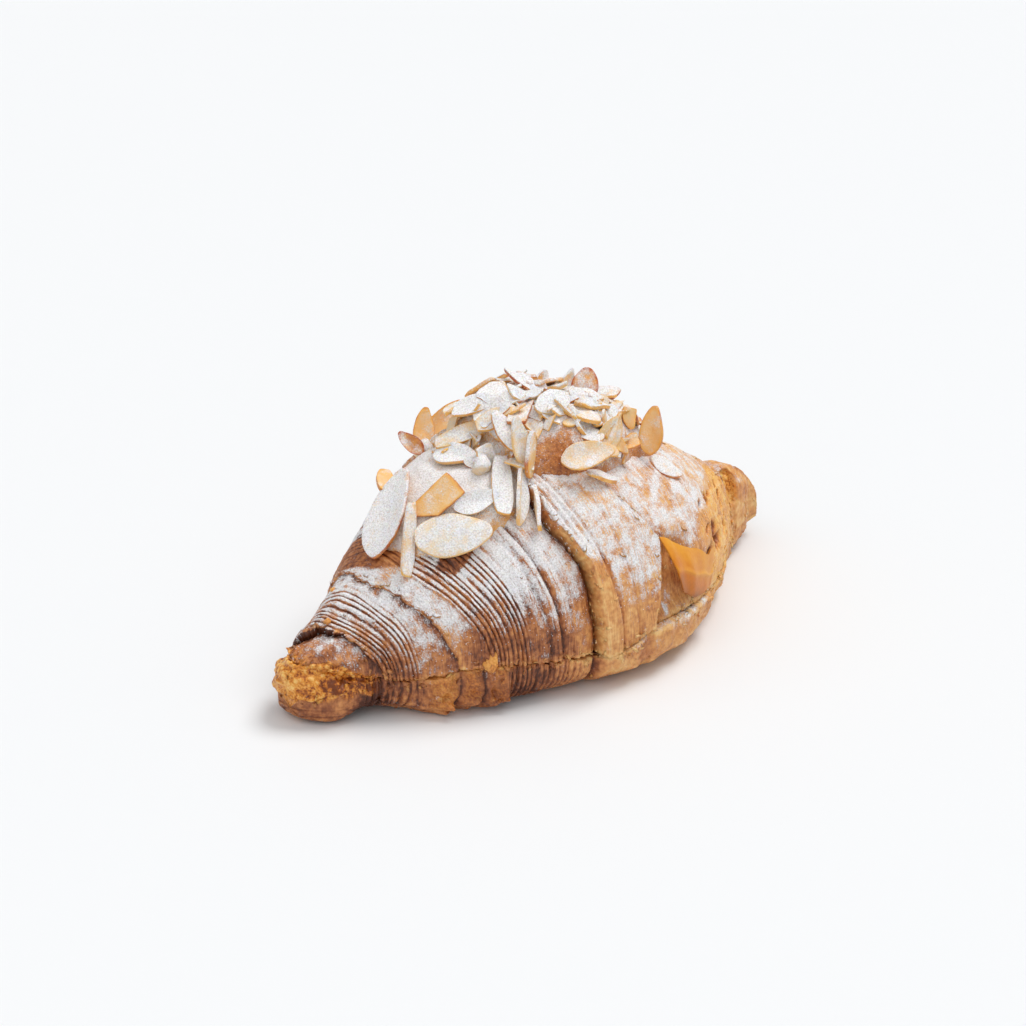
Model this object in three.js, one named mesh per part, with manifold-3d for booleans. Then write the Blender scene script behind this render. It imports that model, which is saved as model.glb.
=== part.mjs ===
// Almond croissant: a croissant sliced level, filled with almond cream, then topped with
// more cream and flaked almonds and baked again.
// Millimetres, +Z up, length along X, resting on Z = 0 with the origin under its middle.
import * as THREE from "three";
import { mergeVertices } from "three/addons/utils/BufferGeometryUtils.js";
import Module from "manifold-3d";

const wasm = await Module();
wasm.setup();

// Driving dimensions. "at" is a place along the length; the rolled wraps lean, so a place is
// a slanting plane that runs WRAP_LEAN millimetres along X for each millimetre across.
const WRAP_LEAN = 0.16;
const PLACE_X = -2.6; // sets the middle of the length on the origin
const PLACE_Y = 0.9; // sets the middle of the width on the origin
const STATIONS = [
  { at: -83, front: 4, back: 7, height: 17.5, lift: 4 }, // left tip
  { at: -76, front: 9.5, back: 11, height: 21.5, lift: 1 },
  { at: -66, front: 14, back: 12.5, height: 28.5, lift: 3.5 }, // waist behind the tip
  { at: -52, front: 25.5, back: 19, height: 40.5, lift: 0 },
  { at: -30, front: 36.5, back: 31, height: 54.5, lift: 0 },
  { at: -4, front: 43, back: 41, height: 61, lift: 0 }, // belly
  { at: 22, front: 39.5, back: 38, height: 56.5, lift: 0 },
  { at: 48, front: 26, back: 28, height: 44.5, lift: 0 },
  { at: 66, front: 12.5, back: 18, height: 32, lift: 0.5 }, // right shoulder
  { at: 78, front: 7, back: 15, height: 27.5, lift: 3 },
  { at: 89, front: 3, back: 12, height: 23, lift: 6 }, // right tip
];
const WIDEST_SHARE = 0.34; // the widest level, as a share of the height
const WIDEST_MOST = 15;
const CROWN_POWER = 0.95; // a round top
const FOOT_POWER = 0.5; // a boxy foot
const SETTLE = 1; // how far the foot is flattened on what it stands on
const TIP_FLAT = 0.6; // a raised tip is flat below this share of its lift

// Steps where one rolled wrap ends over the next. covers is the side of the upper wrap.
const CLEFTS = [
  { at: -71, rise: 1.6, sink: 2.2, covers: 1 },
  { at: -56, rise: 1.6, sink: 1.4, covers: 1 },
  { at: -15.5, rise: 2.4, sink: 3.2, covers: 1 },
  { at: 9, rise: 1.4, sink: 1.8, covers: -1 },
  { at: 63, rise: 0.8, sink: 2, covers: -1 },
];
const RISE_FADE = 9;
const SINK_FADE = 5;
const CLEFT_WALL = 0.7;

// Edges of the laminated dough, seen as fine ridges that run round the roll.
const RIDGES = [
  { from: -70, to: -59, pitch: 1.4, depth: 0.55 },
  { from: -46, to: -30, pitch: 1.4, depth: 0.6 },
  { from: -30, to: -17, pitch: 3.2, depth: 0.7 },
  { from: -14, to: 8, pitch: 4.4, depth: 0.3 },
  { from: 10, to: 58, pitch: 4.8, depth: 0.4 },
  { from: 66, to: 84, pitch: 3, depth: 0.5 },
];

// A flake of crust on the front that has lifted and curled out from the right-hand wrap.
const CURL = { at: 14, lean: 0.25, low: 16, high: 42, soft: 6, rise: 3.4, sink: 2.2, fade: 11, under: 3 };

// The level cut and what it parts.
const CUT_LEVEL = 13;
const CUT_GAP = 1;
const LID = { left: -80, right: 62 };
const FOOT = { left: -82, right: 89 };
const CREAM = { left: -83.5, right: 58 };
const TIP_GAPE = { from: -66, to: -80, lid: 2.5, foot: 3.5 };
const LID_ARCH = 2; // hollow of the lid's cut face, which the filling takes up
const RIM = { left: -0.8, right: 1.8, at: -15, blend: 2, from: -60, to: 45 }; // foot against lid
const STUB_SHARE = 0.985; // the right tip is whole and belongs to the foot
const FOOT_LUMPS = [
  { at: -51.5, half: 4, out: 1.6 },
  { at: -45, half: 2.4, out: 1.4 },
  { at: -40, half: 2.4, out: 1.5 },
];
const FILLING_INSET = 2.6;
const FILLING_INSET_TIP = 0.6;
const FILLING_ARCH = 0.7; // share of the lid's hollow that the filling rises into
const CLEAR = 0.35; // gap between neighbouring pieces
const END_ROUND = 5; // length over which a piece's ends are rounded
const END_DRAW = 2.75; // how far they are drawn in

const ROUND_STEPS = { lid: 20, lidCut: 3, foot: 10, footCut: 3, filling: 4 };
const LENGTH_STEP = 4;

const smooth = (x, a, b) => {
  const t = Math.min(1, Math.max(0, (x - a) / (b - a)));
  return t * t * (3 - 2 * t);
};

// A smooth curve through one size of the stations.
function along(size, at) {
  const last = STATIONS.length - 1;
  let i = 0;
  while (i < last - 1 && at > STATIONS[i + 1].at) i++;
  const slope = (k) => {
    const before = STATIONS[Math.max(0, k - 1)];
    const after = STATIONS[Math.min(last, k + 1)];
    return (after[size] - before[size]) / (after.at - before.at);
  };
  const a = STATIONS[i];
  const b = STATIONS[i + 1];
  const span = b.at - a.at;
  const t = (at - a.at) / span;
  return (
    (2 * t ** 3 - 3 * t ** 2 + 1) * a[size] +
    (t ** 3 - 2 * t ** 2 + t) * span * slope(i) +
    (3 * t ** 2 - 2 * t ** 3) * b[size] +
    (t ** 3 - t ** 2) * span * slope(i + 1)
  );
}

function cleftStep(at) {
  let step = 0;
  for (const c of CLEFTS) {
    const d = (at - c.at) * c.covers;
    step += d > 0 ? c.rise * Math.exp(-d / RISE_FADE) : -c.sink * Math.exp(d / SINK_FADE);
  }
  return step;
}

function ridgeStep(at) {
  const zone = RIDGES.find((r) => at >= r.from && at <= r.to);
  if (!zone) return 0;
  const turn = (at - zone.from) / zone.pitch;
  return -2 * zone.depth * Math.abs(turn - Math.round(turn));
}

// The section's sizes at a place, grown all round by grow.
function sizesAt(at, grow = 0, ridged = true) {
  const step = cleftStep(at) + (ridged ? ridgeStep(at) : 0) + grow;
  const height = along("height", at) + step;
  const lift = along("lift", at);
  return {
    front: along("front", at) + step,
    back: along("back", at) + step,
    height,
    lift,
    widest: lift + Math.min(WIDEST_SHARE * (height - lift), WIDEST_MOST),
  };
}

function curlStep(at, angle, z) {
  if (Math.cos(angle) > 0) return 0;
  const d = at - CURL.at - CURL.lean * (CURL.high - z);
  const inside = smooth(z, CURL.low, CURL.low + CURL.soft) * smooth(z, CURL.high, CURL.high - 2 * CURL.soft);
  const step = d > 0 ? CURL.rise * Math.exp(-d / CURL.fade) : -CURL.sink * Math.exp(d / CURL.under);
  return inside * step;
}

// A point of the crust: angle 0 is the back, a quarter turn the crown, a half turn the front.
function crust(at, angle, s) {
  const c = Math.cos(angle);
  const h = Math.sin(angle);
  const power = h > 0 ? CROWN_POWER : FOOT_POWER;
  const reach = Math.abs(c) ** power;
  const z =
    h > 0
      ? s.widest + (s.height - s.widest) * h ** power
      : s.widest - (s.widest - s.lift + SETTLE) * (-h) ** power;
  const y = c > 0 ? s.back * reach : -(s.front + curlStep(at, angle, z)) * reach;
  return place(at, y, Math.max(z, TIP_FLAT * s.lift, 0));
}

const place = (at, y, z) => new THREE.Vector3(at - WRAP_LEAN * y + PLACE_X, y + PLACE_Y, z);

// The angle at which the section passes a level.
function angleAt(s, z) {
  const above = Math.min(1, (z - s.widest) / (s.height - s.widest));
  const below = Math.min(1, (s.widest - z) / (s.widest - s.lift + SETTLE));
  return above > 0 ? Math.asin(above ** (1 / CROWN_POWER)) : -Math.asin(below ** (1 / FOOT_POWER));
}

// The height of the crust above a point of the plan, without ridges.
function crustHeight(x, y) {
  const across = y - PLACE_Y;
  const s = sizesAt(x - PLACE_X + WRAP_LEAN * across, 0, false);
  const reach = Math.min(1, Math.abs(across) / (across > 0 ? s.back : s.front)) ** (1 / CROWN_POWER);
  return s.widest + (s.height - s.widest) * Math.sqrt(1 - reach * reach) ** CROWN_POWER;
}

// Places along the length: ridge crests and grooves, both sides of each cleft, and even steps.
function lengthSteps(from, to, ridged = true) {
  const steps = [from, to];
  for (const c of CLEFTS) steps.push(c.at - CLEFT_WALL / 2, c.at + CLEFT_WALL / 2);
  if (ridged) {
    for (const r of RIDGES) {
      for (let at = r.from; at < r.to; at += r.pitch / 2) steps.push(at);
    }
  }
  const kept = steps.filter((at) => at >= from && at <= to).sort((a, b) => a - b);
  const out = [kept[0]];
  for (const at of kept.slice(1)) {
    const gap = at - out.at(-1);
    if (gap < CLEFT_WALL / 2) continue;
    const parts = Math.ceil(gap / LENGTH_STEP);
    for (let k = 1; k <= parts; k++) out.push(at - (gap * (parts - k)) / parts);
  }
  out[out.length - 1] = to;
  return out;
}

// A closed solid through rings of points that all have the same count, with its ends filled.
function loft(rings) {
  const n = rings[0].length;
  const points = rings.flat();
  const index = [];
  rings.slice(1).forEach((_, i) => {
    for (let j = 0; j < n; j++) {
      const a = i * n + j;
      const b = i * n + ((j + 1) % n);
      index.push(a, b, a + n, b, b + n, a + n);
    }
  });
  for (const end of [0, rings.length - 1]) {
    const middle = rings[end].reduce((sum, v) => sum.add(v), new THREE.Vector3()).divideScalar(n);
    points.push(middle);
    for (let j = 0; j < n; j++) {
      const a = end * n + j;
      const b = end * n + ((j + 1) % n);
      index.push(...(end ? [a, b, points.length - 1] : [b, a, points.length - 1]));
    }
  }
  return new THREE.BufferGeometry().setFromPoints(points).setIndex(index);
}

function solidOf(geometry) {
  geometry.deleteAttribute("normal");
  geometry.deleteAttribute("uv");
  const merged = mergeVertices(geometry, 1e-4);
  const mesh = new wasm.Mesh({
    numProp: 3,
    vertProperties: new Float32Array(merged.attributes.position.array),
    triVerts: new Uint32Array(merged.index.array),
  });
  return new wasm.Manifold(mesh);
}

function geometryOf(solid) {
  const mesh = solid.getMesh();
  const geometry = new THREE.BufferGeometry();
  geometry.setAttribute("position", new THREE.BufferAttribute(mesh.vertProperties, 3));
  geometry.setIndex(new THREE.BufferAttribute(mesh.triVerts, 1));
  return geometry;
}

const blend = (a, b, t) => a + (b - a) * t;
const gape = (at) => smooth(at, TIP_GAPE.from, TIP_GAPE.to);
const lidLevel = (at) => CUT_LEVEL + CUT_GAP / 2 + TIP_GAPE.lid * gape(at);
const lidArch = (at) => LID_ARCH * (1 - gape(at));
const footLevel = (at) => CUT_LEVEL - CUT_GAP / 2 - TIP_GAPE.foot * gape(at);

// How far a piece is drawn in to round its two ends.
function endRound(at, ends) {
  const near = Math.min(at - ends.left, ends.right - at);
  const t = Math.max(0, 1 - near / END_ROUND);
  return END_DRAW * (1 - Math.sqrt(1 - t * t));
}

// The half above the cut: over the crown from front to back, then back along the cut face.
function lidRing(at, grow, ridged) {
  const s = sizesAt(at, grow - endRound(at, LID), ridged);
  const low = angleAt(s, lidLevel(at) - grow);
  const ring = [];
  for (let k = 0; k <= ROUND_STEPS.lid; k++) {
    ring.push(crust(at, blend(low, Math.PI - low, k / ROUND_STEPS.lid), s));
  }
  const [back, front] = [ring[0], ring.at(-1)];
  for (let k = 1; k <= ROUND_STEPS.lidCut; k++) {
    const t = k / (ROUND_STEPS.lidCut + 1);
    const point = new THREE.Vector3().lerpVectors(front, back, t);
    point.z += lidArch(at) * 4 * t * (1 - t);
    ring.push(point);
  }
  return ring;
}

function makeLid(grow = 0, ridged = true) {
  return loft(lengthSteps(LID.left, LID.right, ridged).map((at) => lidRing(at, grow, ridged)));
}

// Soft lumps of dough along the front of the foot.
function footLump(at) {
  let out = 0;
  for (const l of FOOT_LUMPS) out += l.out * Math.sqrt(Math.max(0, 1 - ((at - l.at) / l.half) ** 2));
  return out;
}

// The half below the cut: under the foot from back to front, then back along the cut face.
function footRing(at) {
  const rim = blend(RIM.left, RIM.right, smooth(at, RIM.at - RIM.blend, RIM.at + RIM.blend));
  const ends = smooth(at, FOOT.left, RIM.from) * smooth(at, LID.right, RIM.to);
  const s = sizesAt(at, rim * ends - endRound(at, FOOT));
  s.front += footLump(at);
  const whole = at > LID.right + CLEAR;
  const high = angleAt(s, whole ? blend(s.lift, s.height, STUB_SHARE) : footLevel(at));
  const ring = [];
  for (let k = 0; k <= ROUND_STEPS.foot; k++) {
    ring.push(crust(at, blend(Math.PI - high, 2 * Math.PI + high, k / ROUND_STEPS.foot), s));
  }
  const [front, back] = [ring[0], ring.at(-1)];
  for (let k = 1; k <= ROUND_STEPS.footCut; k++) {
    ring.push(new THREE.Vector3().lerpVectors(back, front, k / (ROUND_STEPS.footCut + 1)));
  }
  return ring;
}

function makeFoot() {
  const steps = lengthSteps(FOOT.left, FOOT.right).filter((at) => Math.abs(at - LID.right - CLEAR) > 1);
  steps.push(LID.right + CLEAR, LID.right + 2 * CLEAR);
  return loft(steps.sort((a, b) => a - b).map(footRing));
}

// The almond cream between the halves, drawn in from the sides and bare at the left tip.
function fillingRing(at) {
  const inset = blend(FILLING_INSET, FILLING_INSET_TIP, gape(at)) + endRound(at, CREAM);
  const s = sizesAt(at, -inset, false);
  const low = footLevel(at) + CLEAR;
  const high = lidLevel(at) - CLEAR;
  const n = ROUND_STEPS.filling;
  const ring = [];
  for (let k = 0; k <= n; k++) {
    ring.push(place(at, blend(-s.front, s.back, k / n), low));
  }
  for (let k = 0; k <= n; k++) {
    const t = k / n;
    const arch = FILLING_ARCH * lidArch(at) * 4 * t * (1 - t);
    ring.push(place(at, blend(s.back, -s.front, t), high + arch));
  }
  return ring;
}

function makeFilling() {
  return loft(lengthSteps(CREAM.left, CREAM.right, false).map(fillingRing));
}

// The topping's cream: rounded lumps that run together, each at a place of the plan.
const LUMPS = [
  { x: 4, y: 0, long: 27, wide: 25, thick: 11.5 }, // main mound
  { x: 5, y: -14, long: 17, wide: 11, thick: 9 }, // front lump
  { x: 24, y: -3, long: 14, wide: 14, thick: 6 }, // right lump
  { x: -28, y: 2, long: 25, wide: 21, thick: 4 }, // thin spread to the left
];
const LUMP_CENTRE = { x: -4, y: -2 };
const LUMP_SPOKES = 36;
const LUMP_RINGS = 7;
const LUMP_REACH = 60;
const CREAM_EDGE = 0.5; // thickness at which the cream ends
const CREAM_ROOT = 5; // depth below the crust, cut off again where the lid is

function creamThickness(x, y) {
  let power = 0;
  for (const l of LUMPS) {
    const far = ((x - l.x) / l.long) ** 2 + ((y - l.y) / l.wide) ** 2;
    if (far < 1) power += (l.thick * (1 - far * far) ** 0.5) ** 4;
  }
  return power ** 0.25;
}

const topHeight = (x, y) => crustHeight(x, y) + creamThickness(x, y);

// The cream's reach from the centre of the lumps along one spoke.
function creamReach(turn) {
  const thickness = (r) =>
    creamThickness(LUMP_CENTRE.x + r * Math.cos(turn), LUMP_CENTRE.y + r * Math.sin(turn));
  let reach = LUMP_REACH;
  while (thickness(reach) < CREAM_EDGE) reach -= CREAM_EDGE;
  return reach;
}

function makeCream() {
  const ringAt = (share, depth) => {
    const ring = [];
    for (let k = 0; k < LUMP_SPOKES; k++) {
      const turn = (k / LUMP_SPOKES) * 2 * Math.PI;
      const r = creamReach(turn) * share;
      const x = LUMP_CENTRE.x + r * Math.cos(turn);
      const y = LUMP_CENTRE.y + r * Math.sin(turn);
      ring.push(new THREE.Vector3(x, y, depth ? crustHeight(x, y) - depth : topHeight(x, y)));
    }
    return ring;
  };
  const shares = [];
  for (let k = 1; k <= LUMP_RINGS; k++) shares.push(k / LUMP_RINGS);
  const under = shares.filter((_, k) => k % 2 === 0).map((share) => ringAt(share, CREAM_ROOT));
  const over = shares.reverse().map((share) => ringAt(share, 0));
  return loft([...under, ...over]);
}

// Flaked almonds. Each lies at a place of the plan; turn is its heading about the surface's
// normal, pitch raises its far end and roll raises its side, in degrees. A whole slice has
// cut 1; a broken one is cut square at that share of its half length.
const FLAKE_THICK = 1.1;
const FLAKE_SIDES = 9;
const FLAKE_BEND = 0.1;
const FLAKE_TAPER = 0.22;
const FLAKE_SINK = 0.7;
const FLAKE_STAND = 0.3; // share of its standing height by which a tilted flake is raised
const CHOSEN_FLAKES = [
  { x: -47.5, y: 4.5, turn: 17, pitch: 4, roll: -8, long: 27, wide: 13, cut: 1 }, // large, left slope
  { x: -41, y: -16, turn: -21, pitch: 4, roll: -6, long: 23, wide: 13, cut: 1 }, // large, front slope
  { x: -39.5, y: -7, turn: 28, pitch: 26, roll: 38, long: 19, wide: 11, cut: 0.5 }, // bare and broken
  { x: -49, y: -8, turn: 47, pitch: 6, roll: 62, long: 19, wide: 5, cut: 0.8 }, // stick
  { x: -32, y: -13, turn: -11, pitch: 4, roll: 10, long: 13, wide: 7, cut: 1 },
  { x: -24, y: -13.5, turn: 60, pitch: 5, roll: 8, long: 21, wide: 6.5, cut: 1 }, // hanging, side by side
  { x: -21.5, y: -17, turn: 62, pitch: 6, roll: 34, long: 17, wide: 6.5, cut: 1 },
  { x: -18.5, y: -20.5, turn: 64, pitch: 6, roll: 66, long: 16, wide: 4.5, cut: 1 },
  { x: -27, y: 2, turn: -60, pitch: 6, roll: 12, long: 13, wide: 8, cut: 1 },
  { x: -21, y: -4.5, turn: 70, pitch: 40, roll: 30, long: 11, wide: 6, cut: 0.7 }, // leaning group
  { x: -17, y: -6.5, turn: 58, pitch: 38, roll: 48, long: 13, wide: 7, cut: 1 },
  { x: -16, y: -10.5, turn: 66, pitch: 40, roll: 30, long: 12, wide: 6.5, cut: 1 },
  { x: -14.5, y: -14, turn: 74, pitch: 36, roll: 58, long: 12, wide: 5.5, cut: 1 },
  { x: -19, y: 9, turn: -72, pitch: 8, roll: 50, long: 23, wide: 7, cut: 1 }, // on edge, mound's side
  { x: -15, y: 0, turn: -62, pitch: 8, roll: 54, long: 15, wide: 7, cut: 1 },
  { x: -40, y: 14, turn: 40, pitch: 8, roll: 60, long: 13, wide: 5.5, cut: 1 }, // on the far edge
  { x: -25, y: 25, turn: 150, pitch: 54, roll: 12, long: 12, wide: 8, cut: 1 }, // spikes, far left
  { x: -22.5, y: 21, turn: 96, pitch: 66, roll: -14, long: 15, wide: 8, cut: 1 },
  { x: -20, y: 17, turn: 60, pitch: 54, roll: 16, long: 16, wide: 9, cut: 1 },
  { x: 27, y: -15.5, turn: 84, pitch: 64, roll: 16, long: 15, wide: 8, cut: 1 }, // spikes, right
  { x: 28, y: -9, turn: 70, pitch: 48, roll: 40, long: 11, wide: 6, cut: 1 },
  { x: 20, y: -18, turn: 50, pitch: 40, roll: 48, long: 12, wide: 7, cut: 0.6 },
  { x: 30, y: -20, turn: -35, pitch: 2, roll: 6, long: 11, wide: 8, cut: 1 }, // flat on the right
  { x: 0, y: -22.5, turn: 8, pitch: 4, roll: 8, long: 14, wide: 8, cut: 1 }, // bare, front lump
  { x: 12, y: -21, turn: 30, pitch: 10, roll: 20, long: 11, wide: 6, cut: 0.6 },
  { x: 2, y: -26.5, turn: -4, pitch: 4, roll: 24, long: 11, wide: 5, cut: 0.7 },
  { x: 18, y: 3, turn: 40, pitch: 68, roll: 10, long: 10, wide: 8, cut: 1 }, // round, on top
  { x: 14, y: 2, turn: 80, pitch: 56, roll: 40, long: 9, wide: 4, cut: 1 },
];
const CRUMBS = [
  { x: -25.5, y: -7, size: 3.2 },
  { x: -24, y: 20, size: 3.2 },
];
const SCATTER = {
  count: 20,
  reach: [25, 21],
  long: [9, 15],
  wide: [5, 8],
  cut: [0.3, 1.4],
  pitch: 24,
  roll: 30,
};
const GOLDEN_TURN = Math.PI * (3 - Math.sqrt(5));

// A repeatable draw from 0 to 1 for the scattered flakes.
function chance(i, salt) {
  const v = Math.sin(i * 12.9898 + salt * 78.233) * 43758.5453;
  return v - Math.floor(v);
}

function scatteredFlakes() {
  const flakes = [];
  for (let i = 0; i < SCATTER.count; i++) {
    const far = Math.sqrt((i + 0.5) / SCATTER.count);
    const turn = i * GOLDEN_TURN;
    flakes.push({
      x: LUMPS[0].x + SCATTER.reach[0] * far * Math.cos(turn),
      y: LUMPS[0].y + SCATTER.reach[1] * far * Math.sin(turn),
      turn: 360 * chance(i, 1),
      pitch: SCATTER.pitch * (2 * chance(i, 2) - 1),
      roll: SCATTER.roll * (2 * chance(i, 3) - 1),
      long: blend(...SCATTER.long, chance(i, 4)),
      wide: blend(...SCATTER.wide, chance(i, 5)),
      cut: blend(...SCATTER.cut, chance(i, 6)),
    });
  }
  return flakes;
}

// A slice of almond: a pointed oval, bent a little across its width.
function makeFlake({ long, wide, cut }) {
  const top = [];
  for (let k = 0; k < FLAKE_SIDES; k++) {
    const t = (k / FLAKE_SIDES) * 2 * Math.PI;
    const x = (long / 2) * Math.min(Math.cos(t), cut);
    const y = (wide / 2) * Math.sin(t) * (1 - FLAKE_TAPER * Math.cos(t));
    top.push(new THREE.Vector3(x, y, FLAKE_BEND * wide * (2 * y / wide) ** 2));
  }
  const under = top.map((v) => v.clone().setZ(v.z - FLAKE_THICK));
  return loft([under, top]);
}

// Sets a flake on the topping's surface.
function layFlake(flake) {
  const step = 0.5;
  const rise = (dx, dy) =>
    (topHeight(flake.x + dx, flake.y + dy) - topHeight(flake.x - dx, flake.y - dy)) / (2 * step);
  const normal = new THREE.Vector3(-rise(step, 0), -rise(0, step), 1).normalize();
  const lengthwise = new THREE.Vector3(1, 0, 0).projectOnPlane(normal).normalize();
  const across = new THREE.Vector3().crossVectors(normal, lengthwise);
  const surface = new THREE.Matrix4().makeBasis(lengthwise, across, normal);
  const degrees = [flake.roll, -flake.pitch, flake.turn].map(THREE.MathUtils.degToRad);
  const own = new THREE.Matrix4().makeRotationFromEuler(new THREE.Euler(...degrees, "ZYX"));
  const stand = Math.abs(Math.sin(degrees[1])) * flake.long + Math.abs(Math.sin(degrees[0])) * flake.wide;
  const up = normal.clone().multiplyScalar(FLAKE_STAND * stand - FLAKE_SINK);
  const at = new THREE.Vector3(flake.x, flake.y, topHeight(flake.x, flake.y)).add(up);
  return makeFlake(flake).applyMatrix4(surface.multiply(own).setPosition(at));
}

// The topping: cream and flakes in one, cut clear of the lid; crumbs that come loose are dropped.
function makeTopping() {
  let topping = solidOf(makeCream());
  for (const flake of [...CHOSEN_FLAKES, ...scatteredFlakes()]) {
    topping = topping.add(solidOf(layFlake(flake)));
  }
  for (const { x, y, size } of CRUMBS) {
    const crumb = new THREE.IcosahedronGeometry(size, 1).translate(x, y, topHeight(x, y) + size / 2);
    topping = topping.add(solidOf(crumb));
  }
  topping = topping.subtract(solidOf(makeLid(CLEAR, false)));
  const pieces = topping.decompose().sort((a, b) => b.volume() - a.volume());
  return geometryOf(pieces[0]);
}

function bake(name, geometry, color, roughness) {
  const material = new THREE.MeshStandardMaterial({ color, roughness, metalness: 0 });
  const mesh = new THREE.Mesh(geometry, material);
  mesh.name = name;
  return mesh;
}

const croissant = new THREE.Group();
croissant.name = "almond_croissant";
croissant.add(
  bake("croissant_foot", makeFoot(), 0xb8793f, 0.6),
  bake("almond_filling", makeFilling(), 0xd9973f, 0.8),
  bake("croissant_lid", makeLid(), 0x9a5a2e, 0.55),
  bake("almond_topping", makeTopping(), 0xe9d3b4, 0.7),
);

export default croissant;
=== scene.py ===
"""Looks of an almond croissant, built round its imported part. Sizes are millimetres until a mesh is made."""

import bpy
import numpy as np
from mathutils import Matrix, Vector


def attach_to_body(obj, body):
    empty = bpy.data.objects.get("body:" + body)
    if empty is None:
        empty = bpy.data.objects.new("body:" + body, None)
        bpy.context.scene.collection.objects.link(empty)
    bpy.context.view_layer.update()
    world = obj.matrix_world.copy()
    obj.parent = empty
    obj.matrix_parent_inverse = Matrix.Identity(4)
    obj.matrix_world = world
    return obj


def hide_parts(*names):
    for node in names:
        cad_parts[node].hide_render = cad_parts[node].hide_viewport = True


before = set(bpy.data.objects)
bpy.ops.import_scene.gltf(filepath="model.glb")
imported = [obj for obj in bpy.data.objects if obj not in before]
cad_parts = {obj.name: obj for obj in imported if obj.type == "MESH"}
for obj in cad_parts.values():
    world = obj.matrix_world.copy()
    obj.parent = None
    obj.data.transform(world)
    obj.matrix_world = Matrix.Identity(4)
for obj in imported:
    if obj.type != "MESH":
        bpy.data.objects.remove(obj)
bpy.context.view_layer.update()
MM = 0.001

# The croissant's form, as in the part. "at" is a place along the roll; the wraps lean.
WRAP_LEAN = 0.16
PLACE_X, PLACE_Y = -2.6, 0.9
STATIONS = np.array(
    [  # at, front, back, height, lift
        (-83, 4, 7, 17.5, 4),
        (-76, 9.5, 11, 21.5, 1),
        (-66, 14, 12.5, 28.5, 3.5),
        (-52, 25.5, 19, 40.5, 0),
        (-30, 36.5, 31, 54.5, 0),
        (-4, 43, 41, 61, 0),
        (22, 39.5, 38, 56.5, 0),
        (48, 26, 28, 44.5, 0),
        (66, 12.5, 18, 32, 0.5),
        (78, 7, 15, 27.5, 3),
        (89, 3, 12, 23, 6),
    ],
    float,
)
WIDEST_SHARE, WIDEST_MOST = 0.34, 15
CROWN_POWER, FOOT_POWER = 0.95, 0.5
SETTLE, TIP_FLAT, THINNEST = 1, 0.6, 1

# Edges of the wraps: (turn round the roll in radians, place). 0 is the back, pi / 2 the crown, pi the front.
EDGES = {
    "tip": [(0.9, -72.5), (1.6, -71), (2.4, -68.5), (3.1, -65)],
    "left": [(1.0, -56), (1.6, -58.4), (2.2, -56.4), (3.1, -50)],
    "deep": [(1.2, -15.5), (2.2, -18.3), (2.6, -15.5)],
    "right": [(1.1, 9), (1.7, 2), (2.15, -1), (2.45, 5), (2.62, 9), (3.1, 2.5)],
    "stub": [(0, 68.5)],
    "end": [(0, 63.6)],
}
# Rise of the covering wrap at its edge, sink of the covered one, and the side that covers.
CLEFTS = {
    "tip": (0.4, 2, 1),
    "left": (0.3, 0.5, 1),
    "deep": (2.2, 3.2, 1),
    "right": (1.2, 1.8, -1),
    "stub": (0.6, 2.6, -1),
}
RISE_FADE, SINK_FADE, DIVE, DIVE_MOST = 9, 5, 1.2, 4
FOOT_CLEFTS = ("tip", "stub")
# How far the painted shade of a cleft runs out over the covered wrap.
CRACK_FADE = {"tip": 1.2, "left": 1.2, "deep": 2.4, "right": 1.2, "stub": 1.2}
# Spots that the two large slices kept free of sugar, also darkened as their painted shadow: x, y, half
# length, half width.
SHELTERED = [(-55.5, 5, 6, 13), (-41.5, -15.6, 6.5, 3)]
# Streaks of the crust are this many times longer round the roll than along it.
STREAK = 12

# Edges of the laminated dough: first and last line, each at the crown and at the front foot, count, depth.
LID_RIDGES = [
    (-71, -65, -59.5, -57, 10, 0.9),
    (-52, -43.5, -37.5, -31.5, 11, 0.9),
    (-37.5, -31.5, -20, -17.5, 6, 0.2),
]
FOOT_RIDGES = [
    (-68, -68, -57, -57, 8, 1.2),
    (-38, -38, -18, -18, 15, 1.2),
    (66, 66, 84, 84, 5, 0.12),
]
# Single creases: place at the crown and at the front foot, half width, depth, share of the depth at the foot.
CREASES = [
    (-33, -27.8, 0.8, 0.9, 1),
    (-29.3, -24.4, 0.8, 1.1, 1),
    (-25, -21.5, 0.6, 0.5, 1),
    (-16.6, -13.4, 0.5, 0.9, 0),
    (-15, -12.2, 0.5, 0.8, 0),
    (-13.2, -9.3, 0.5, 0.8, 1),
    (-7, -4, 0.5, 0.35, 1),
    (22, 28, 0.6, 0.6, 0.3),
    (31, 36, 0.6, 0.5, 0.3),
]

# The level cut, open at the left tip, and the waves of its edge along the roll.
CUT_LEVEL, CUT_GAP = 13, 0.6
TIP_HOLLOW = (-74, 4, 2)
LID_GAPE, FOOT_GAPE = (-66, -79, 3.6), (-73, -81, 3.5)
CUT_WAVE = [
    (-66, 0), (-60, -1.3), (-50, 0.9), (-42, 1.5), (-30, -0.2), (-16, -1.8),
    (-10, -1.4), (1, 1.6), (14, 2), (30, 0.5), (42, -1.5), (62, -2.5),
]
LID_ENDS, FOOT_ENDS, CREAM_ENDS = (-80, 62), (-82, 91), (-83.5, 58)
FOOT_STEP, FOOT_AROUND = 0.24, 120
TIP_ROUND, STUB_ROUND = (-74, 9.6, 4.5), (76, 15.05, 11)
RIM_LEFT, RIM_RIGHT, RIM_AT, RIM_BLEND = -0.8, 1.4, -15, 2
# Soft lumps along the front of the foot: place, half length, how far out.
FOOT_LUMPS = [(-53.8, 5.2, 5), (-46.8, 2.6, 3.6), (-41.6, 3.2, 4.4)]
SPLIT_AT, SPLIT_HALF, SPLIT_DEPTH = -15.6, 0.9, 2.4
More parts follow.
